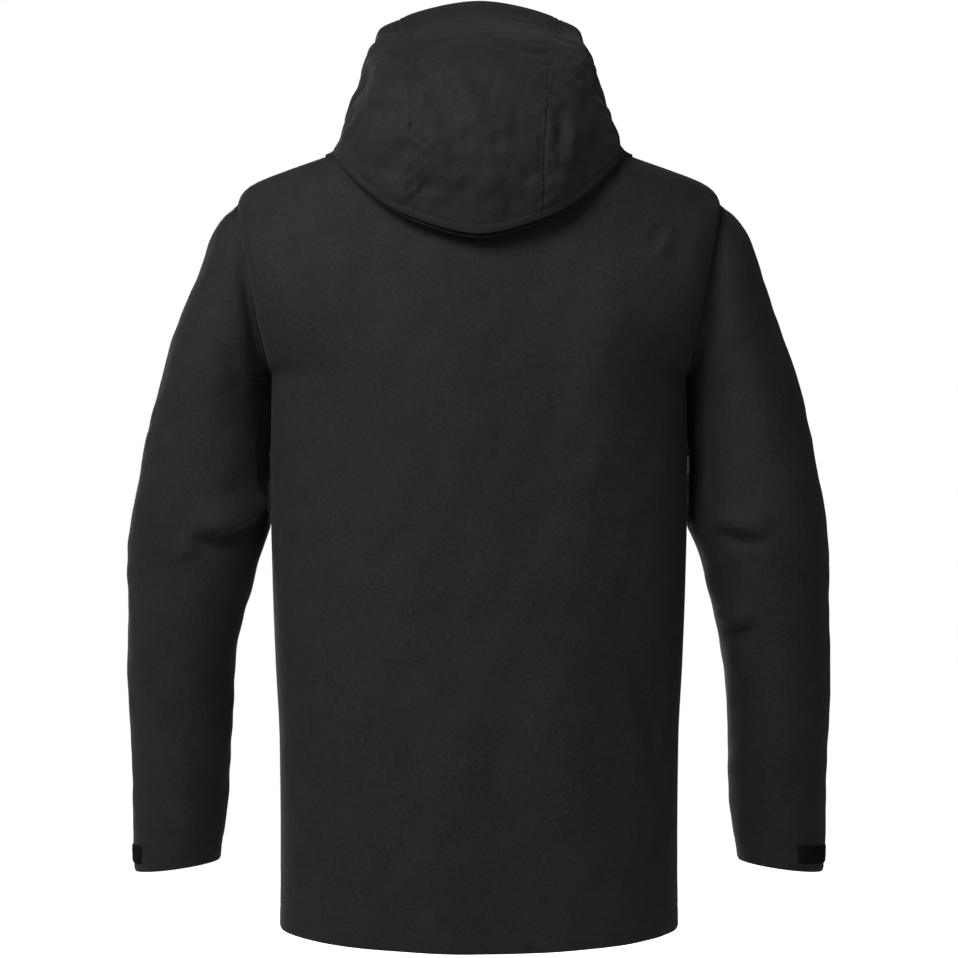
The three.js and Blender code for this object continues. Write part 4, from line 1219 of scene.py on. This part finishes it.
def hood_shape(across, rear):
    """How the hood's cloth hangs: loose and creased, calmer on the crown, and puckered along its seams."""

    def shape(points):
        crown = smooth((points[..., 2] - 62) / 40)
        loose = (1.5 * wander(points, 24, 51) + 0.8 * wander(points, 10, 52)) * lerp(1, 0.35, crown)
        creased = folds(points, hood_creases) * smooth((points[..., 1] + 40) / 60)
        width, height = np.abs(points[..., 0]), points[..., 2]
        tucked = -ear_tuck * smooth((width - 84) / 40) * np.exp(-(((height - 4) / 62) ** 2))
        seam = np.minimum(np.abs(across - seam_across), np.abs(arch_points - seam_across - across)) * 34
        pucker = 0.7 * wander(points, 6, 53) * np.exp(-((seam / 9) ** 2))
        inside = np.minimum(across, arch_points - across)
        ease = smooth(inside / 0.5) * smooth(rear / 0.25) * smooth((last_arch - rear) / 0.35)
        return hood_outside + (loose + creased + pucker) * ease + tucked

    return shape


def bend_with_hood(piece):
    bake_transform(piece)


def cross_seam(across):
    """How many arches back the seam across the hood lies."""
    return lerp(seam_middle, seam_side, smooth((np.abs(across - arch_points / 2) - 0.8) / 3))


def hood_panel(name, across, part, hand, relief, replaced):
    """One of the hood's panels. Its columns are places across the arches, and its rows run from the brim back to
    the cross seam, or from there to the lower edge."""
    flip = hand or "left"
    rows = front_rows if part == "front" else back_rows
    grid_across, share = np.meshgrid(across, rows, indexing="ij")
    seam = cross_seam(grid_across)
    rear = share * seam if part == "front" else lerp(seam, last_arch, share)
    panel = cloth(
        name,
        mirrored(lambda a, b: hood_point(a, rear), flip),
        across, rows,
        facing=-sides[flip],
        shape=hood_shape(grid_across, rear),
        relief=relief,
        thick=lambda face: np.where((rear < 0.2) | (rear > last_arch - 0.12), 1.8, laminate),
    )
    bend_with_hood(panel)
    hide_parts(*replaced)


seam_relief = [(edge, profile) for edge in ("first", "last") for profile in (rolled, stitched(5))]
front_rows = divided(190, 3.4, from_start=(0, 8), from_end=(0, 5))
back_rows = divided(180, 3.4, from_start=(0, 5), from_end=(0, 8))
side_across = divided(180, 3.6, from_start=(0,), from_end=(0, 5)) * seam_across
centre_share = divided(140, 3.6, from_start=(0, 5), from_end=(0, 5))
centre_across = seam_across + centre_share * (arch_points - 2 * seam_across)
brim = [("low", rolled), ("low", stitched(8, 0.7)), ("high", rolled), ("high", stitched(5))]
crown = [("low", rolled), ("low", stitched(5)), ("high", rolled), ("high", stitched(8, 0.7))]
side_relief = [("first", rolled), ("last", rolled), ("last", stitched(5))]
for hand in sides:
    hood_panel(
        "hood_front_cloth_" + hand, side_across, "front", hand, side_relief + brim,
        ("hood_front_" + hand, "hood_cheek_" + hand),
    )
    hood_panel(
        "hood_back_cloth_" + hand, side_across, "back", hand, side_relief + crown,
        ("hood_back_" + hand,),
    )
hood_panel(
    "hood_front_cloth_centre", centre_across, "front", None, seam_relief + brim, ("hood_front_centre",),
)
hood_panel(
    "hood_back_cloth_centre", centre_across, "back", None, seam_relief + crown, ("hood_back_centre",),
)
hood_rows = [
    edge_line("hood_" + part + "_cloth_" + which, edge, far)
    for part in ("front", "back")
    for which, edge, far in (
        ("left", "last", 5), ("right", "last", 5), ("centre", "first", 5), ("centre", "last", 5),
    )
]
hood_rows += [edge_line("hood_back_cloth_" + which, "low", 5) for which in ("left", "centre", "right")]
hood_rows += [edge_line("hood_front_cloth_" + which, "low", 8) for which in ("left", "centre", "right")]
hood_rows += [edge_line("hood_back_cloth_" + which, "high", 8) for which in ("left", "centre", "right")]
bend_with_hood(stitching("hood_stitching", hood_rows))

peak_across, peak_front, peak_back = 2.3, 0.04, 0.55
peak = cloth(
    "hood_peak_insert",
    lambda a, b: hood_point(lerp(peak_across, arch_points - peak_across, a), lerp(peak_front, peak_back, b)),
    divided(210, 4), divided(30, 3), facing=-1,
    shape=lambda points: np.full(points.shape[:-1], -0.9), thick=0.9, outside=black_plastic, inside=black_plastic,
)
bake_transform(peak)
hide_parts("hood_peak_stiffener")


def hood_edge(t):
    """The hood's lower edge, down the left side, round the back and up the right, as t goes from 0 to 1."""
    side_share = 0.3
    left, right = t < side_share, t > 1 - side_share
    rear = np.where(left, t / side_share, np.where(right, (1 - t) / side_share, 1)) * last_arch
    middle = (t - side_share) / (1 - 2 * side_share)
    return hood_point(np.where(left, 0, np.where(right, 1, middle)) * arch_points, rear)


def band_point(a, b):
    neck = both_sides(neckline, lerp(50, 310, a))
    neck = neck + outward(neck) * 3.1
    edge = hood_edge(a)
    inward = (neck - edge) * (1, 1, 0)
    edge = edge + unit(inward) * 3.4 - (0, 0, 3.4)
    p = lerp(edge, neck, b[..., None])
    p[..., 2] = np.maximum(p[..., 2], shoulder_height(p[..., 0], p[..., 1]) + 3) + 2 * np.minimum(1, 3 * b)
    return p


neck_band = cloth(
    "hood_neck_band_cloth", band_point, divided(620, 6), divided(60, 5), facing=1, thick=0.8, inside=shell,
)
bend_with_hood(neck_band)
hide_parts("hood_neck_band")

# ------------------------------------------------------------------ front zip
# A two-way moulded zip runs from the top of the collar to the hem: a coated tape on each front with a row of thick
# moulded teeth. A strip of knit behind it, sewn to the left front, keeps the wind out, and a folded piece of shell
# cloth covers its top end at the chin.
zip_angle = math.atan(zip_lean)
zip_up = np.array([0, math.sin(zip_angle), math.cos(zip_angle)])
zip_in = np.array([0, math.cos(zip_angle), -math.sin(zip_angle)])
tooth_pitch = 3.2
tooth_deep = 4.4
tape_thick = 1.4
zip_top = 1
upper_zip = (split_z + 1, zip_top)
lower_zip = (hem_z + 2, split_z - 4)


def along_zip(x, inwards, z):
    """A point at a height on the centre front, some way sideways and inwards from the cloth's face."""
    x, inwards, z = np.broadcast_arrays(np.asarray(x, float), np.asarray(inwards, float), np.asarray(z, float))
    base = np.stack([x, -front_line(z), z], -1)
    return base + inwards[..., None] * zip_in


coated_tape = woven(
    "coated_zip_tape", (0.007, 0.007, 0.007), (0.014, 0.014, 0.014), 0.42, 0.9, 0.05, speckle=2.0,
    Specular_IOR_Level=0.45,
)
tooth_resin = moulded("zip_teeth_resin", (0.012, 0.012, 0.012), 0.35, 0.8)
painted_metal = moulded("black_painted_metal", (0.028, 0.028, 0.030), 0.34, 1.2, Metallic=0.75)


def ring_solid(rings):
    """Faces of a solid made of stacked rings of the same count, capped at both ends."""
    n = len(rings[0])
    faces = [
        [r * n + s, r * n + (s + 1) % n, (r + 1) * n + (s + 1) % n, (r + 1) * n + s]
        for r in range(len(rings) - 1)
        for s in range(n)
    ]
    return np.concatenate(rings), faces + [list(range(n))[::-1], list(range((len(rings) - 1) * n, len(rings) * n))]


def tooth(inner_x, outer_x, length, z):
    """One moulded tooth: a block with its corners taken off, standing through the tape."""
    cut = 0.45
    outline = np.array([
        (inner_x + cut, -length / 2), (outer_x, -length / 2 + 0.15), (outer_x, length / 2 - 0.15),
        (inner_x + cut, length / 2), (inner_x, length / 2 - cut), (inner_x, -length / 2 + cut),
    ])
    middle = outline.mean(0)
    rings = []
    for share, size in ((-0.5, 0.82), (-0.44, 1), (0.44, 1), (0.5, 0.82)):
        flat = middle + (outline - middle) * size
        rings.append(along_zip(flat[:, 0], tape_thick / 2 + share * tooth_deep, z) + flat[:, 1:] * zip_up)
    return ring_solid(rings)


def zip_side(level, span, hand, reach):
    """One side of the zip over a span of heights. The teeth reach this far from the middle."""
    flip = np.array((sides[hand], 1, 1))
    half_pitch = tooth_pitch / 2 if hand == "right" else 0
    tape = cloth(
        "zip_tape_" + level + "_" + hand,
        mirrored(lambda a, b: along_zip(lerp(1.6, 9.85, a), 0.25, lerp(span[0], span[1], b)), hand),
        divided(8.3, 1.2), divided(span[1] - span[0], 6), facing=sides[hand],
        relief=[("first", lambda far: 0.5 * np.exp(-((far / 1.1) ** 2)))],
        thick=0.9, outside=coated_tape, inside=coated_tape,
    )
    places = np.arange(span[0] + 7, span[1] - 5, tooth_pitch) + half_pitch
    blocks = [tooth(reach, 3.6, 2.0, z) for z in places]
    blocks += [tooth(0.9, 3.8, 4.5, span[1] - 2.6), tooth(0.9, 4.4, 5.0, span[0] + 2.8)]
    teeth = joined(
        "zip_teeth_" + level + "_" + hand,
        [(points * flip, faces if hand == "left" else [face[::-1] for face in faces]) for points, faces in blocks],
        tooth_resin,
    )
    return tape, teeth


for hand in sides:
    for level, span, reach in (("upper", upper_zip, -0.55), ("lower", lower_zip, 0.85)):
        tape, teeth = zip_side(level, span, hand, reach)
        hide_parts("zip_half_" + level + "_" + hand)
        for part in (tape, teeth):
            if level == "lower":
                bend_at_fold(part)
            else:
                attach(part, "jacket_body")

flap_path = through((0, -5.5), (0.62, 12), (0.8, 18), (1, 22))
flap_depth = through((0, 6.0), (0.62, 6.0), (0.8, 4.2), (1, 2.4))
for level, low_z, high_z in (("upper", -510, -78), ("lower", -787, -520)):
    flap = cloth(
        "storm_flap_cloth_" + level,
        lambda a, b: along_zip(flap_path(a), flap_depth(a), lerp(low_z, high_z, b)),
        divided(30, 2.0), divided(high_z - low_z, 6, from_start=(0,), from_end=(0,)), facing=1,
        relief=[("first", rolled), ("low", rolled), ("high", rolled)],
        thick=0.8, outside=backer,
    )
    if level == "lower":
        bend_at_fold(flap)
    else:
        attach(flap, "jacket_body")
    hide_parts("storm_flap_" + level)


def slab(outline, thick, bevel):
    """A flat part with rounded edges: local points (x, y, height) and faces."""
    outline = np.array(outline, float)
    middle = outline.mean(0)
    reach = np.linalg.norm(outline - middle, axis=1, keepdims=True)
    rings = []
    for inset, height in (
        (1, 0), (0.3, 0.3), (0, 1), (0, -1), (0.3, -0.3), (1, 0.0),
    ):
        level = height * bevel if len(rings) < 3 else thick + height * bevel
        flat = middle + (outline - middle) * (1 - inset * bevel / reach)
        rings.append(np.column_stack([flat, np.full(len(flat), level)]))
    return ring_solid(rings)


def rounded(points, times=2):
    """An outline with its corners cut round."""
    points = np.array(points, float)
    for _ in range(times):
        ahead = np.roll(points, -1, axis=0)
        points = np.stack([lerp(points, ahead, 0.25), lerp(points, ahead, 0.75)], 1).reshape(-1, 2)
    return points


def oriented(part, origin, side, up, out):
    points, faces = part
    basis = np.stack([side, up, out])
    if np.linalg.det(basis) < 0:
        faces = [face[::-1] for face in faces]
    return origin + points @ basis, faces


slider_outline = rounded([
    (-4.2, 0), (4.2, 0), (5.0, 4), (6.5, 11), (6.1, 15.4), (2, 16), (-2, 16), (-6.1, 15.4), (-6.5, 11), (-5, 4),
])
pull_outline = rounded([
    (-2.4, 0), (2.4, 0), (3.9, -7), (4, -20), (4, -34), (2.6, -38), (-2.6, -38), (-4, -34), (-4, -20), (-3.9, -7),
])
rib_outline = rounded([(-2.6, -0.6), (2.6, -0.6), (2.6, 0.6), (-2.6, 0.6)], 1)


def zip_slider(name):
    """The slider's two plates, the post between them and the bridge that holds its pull, where the frame has it."""
    node = name + "_slider"
    low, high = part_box(node)
    z = low.z / mm - neck_z / mm
    foot = along_zip(0, tape_thick / 2, z)
    out = -zip_in
    side = np.array([1.0, 0, 0])
    inside = tooth_deep / 2 + 0.4
    parts = [
        oriented(slab(slider_outline, 1.5, 0.5), foot + out * (inside + 0.05), side, zip_up, out),
        oriented(slab(slider_outline, 1.5, 0.5), foot - out * (inside + 1.55), side, zip_up, out),
        oriented(
            slab([(-0.6, 6), (0.6, 6), (0.6, 15), (-0.6, 15)], 2 * inside + 0.6, 0.2),
            foot - out * (inside + 0.3), side, zip_up, out,
        ),
    ]
    sweep = np.linspace(0, math.pi, 15)
    along, proud = 9.6 - 5.2 * np.cos(sweep), 3.6 * np.sin(sweep)
    bridge = foot + out * (inside + 1.4) + np.outer(along, zip_up) + np.outer(proud, out)
    parts.append(tube(bridge, 0.95, 12))
    slider = joined(node + "_casting", parts, painted_metal)
    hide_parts(node)
    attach(slider, node)

    pin = foot + zip_up * 13 + out * (inside + 1.6 + 0.35)
    grip = [oriented(slab(pull_outline, 1.8, 0.55), pin, side, zip_up, out)]
    for k in range(7):
        rib_at = pin - zip_up * (15 + 2.8 * k) + out * 1.55
        grip.append(oriented(slab(rib_outline, 0.7, 0.25), rib_at, side, zip_up, out))
    pull = joined(name + "_pull_grip", grip, soft_tab)
    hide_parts(name + "_pull")
    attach(pull, name + "_pull")


for name in ("top", "low"):
    zip_slider(name)

guard_low, guard_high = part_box("chin_guard")
guard_size = [(guard_high[k] - guard_low[k]) / mm for k in range(3)]
guard_wide, guard_deep = guard_size[0] / 2, guard_size[1] / 2
guard_outline = rounded([
    (-guard_wide, -guard_deep), (guard_wide, -guard_deep), (guard_wide, guard_deep), (-guard_wide, guard_deep),
])
guard_slab = slab(guard_outline, guard_size[2], 1.1)
guard = joined("chin_guard_cloth", [oriented(guard_slab, place_of("chin_guard"), *np.eye(3))], shell)
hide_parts("chin_guard")
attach(guard, "jacket_body")

# ------------------------------------------------------------------ hand pockets
# Each front has a slanting hand pocket closed by a coated coil zip between two narrow lips. Its bag is knit, and
# lies between the shell and the wearer.
pocket_ends = ((132, -452), (148, -610))
lip_half = 9


def pocket_point(t, sideways):
    x = lerp(pocket_ends[0][0], pocket_ends[1][0], t) + sideways
    return body_point(-1, x, lerp(pocket_ends[0][1], pocket_ends[1][1], t))


def lip_height(sideways):
    edge = smooth((lip_half - np.abs(sideways)) / 2.2)
    slot = 1.2 * np.exp(-((sideways / 1.5) ** 2))
    stitch = 0.35 * np.exp(-(((np.abs(sideways) - 6) / 0.8) ** 2))
    return 0.3 + 1.3 * edge - slot - stitch


lip_columns = divided(2 * lip_half, 0.9)
for hand in sides:
    lips = cloth(
        "pocket_zip_lips_" + hand,
        mirrored(lambda a, b: pocket_point(b, lerp(-lip_half, lip_half, a)), hand),
        lip_columns, divided(160, 4, from_start=(0,), from_end=(0,)),
        facing=-sides[hand],
        shape=lambda points: np.broadcast_to(
            lip_height(lerp(-lip_half, lip_half, lip_columns))[:, None], points.shape[:-1]
        ),
        thick=0.5, outside=coated_tape, inside=coated_tape,
    )
    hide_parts("pocket_zip_" + hand)
    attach(lips, "jacket_body")
    coils = []
    for t in np.arange(0.02, 0.98, 0.0095):
        line = pocket_point(np.full(6, t), np.linspace(-1.5, 1.5, 6)) * (sides[hand], 1, 1)
        line = line + (0, -0.9, 0)
        coils.append(tube(line, np.array([0.2, 0.42, 0.42, 0.42, 0.42, 0.2]), 6))
    coil = joined("pocket_zip_coil_" + hand, coils, tooth_resin)
    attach(coil, "jacket_body")

    bag = cloth(
        "pocket_bag_knit_" + hand,
        mirrored(
            lambda a, b: body_point(
                -1, lerp(fold_x(lerp(-640, -452, b)) + 12, 186, a), lerp(-640, -452, b)
            ),
            hand,
        ),
        divided(130, 6, from_start=(0,), from_end=(0,)), divided(188, 6, from_start=(0,), from_end=(0,)),
        facing=sides[hand],
        shape=lambda points: -3.0 + 0.5 * wander(points, 30, 61),
        relief=[(edge, lambda far: 0.9 * np.exp(-((far / 3) ** 2))) for edge in ("first", "last", "low", "high")],
        thick=0.8, outside=backer,
    )
    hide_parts("pocket_bag_" + hand)
    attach(bag, "jacket_body")

    node = "pocket_slider_" + hand
    down = unit(pocket_point(np.array(1.0), 0) - pocket_point(np.array(0.0), 0))
    across_pocket = unit(pocket_point(np.array(0.5), 4) - pocket_point(np.array(0.5), -4))
    out = unit(np.cross(across_pocket, down))
    out = out if out[1] < 0 else -out
    flip = np.array((sides[hand], 1, 1))
    box_low, box_high = (np.array(corner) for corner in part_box(node))
    middle = ((box_low + box_high) / 2 - (0, neck_y, neck_z)) / mm
    side = np.cross(down, out)
    body = slab(rounded([(-4.2, -7.6), (4.2, -7.6), (4.4, 5), (2.4, 8), (-2.4, 8), (-4.4, 5)]), 2.2, 0.7)
    grip = slab(rounded([(-1.8, -4), (1.8, -4), (2.6, 6.2), (0.9, 7.8), (-0.9, 7.8), (-2.6, 6.2)]), 1.6, 0.5)
    parts = [
        oriented(body, middle - out * flip * 1.9, side * flip, down * flip, out * flip),
        oriented(grip, middle + out * flip * 0.2, side * flip, down * flip, out * flip),
    ]
    slider = joined(node + "_casting", parts, painted_metal)
    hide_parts(node)
    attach(slider, hand + "_pocket_slider")
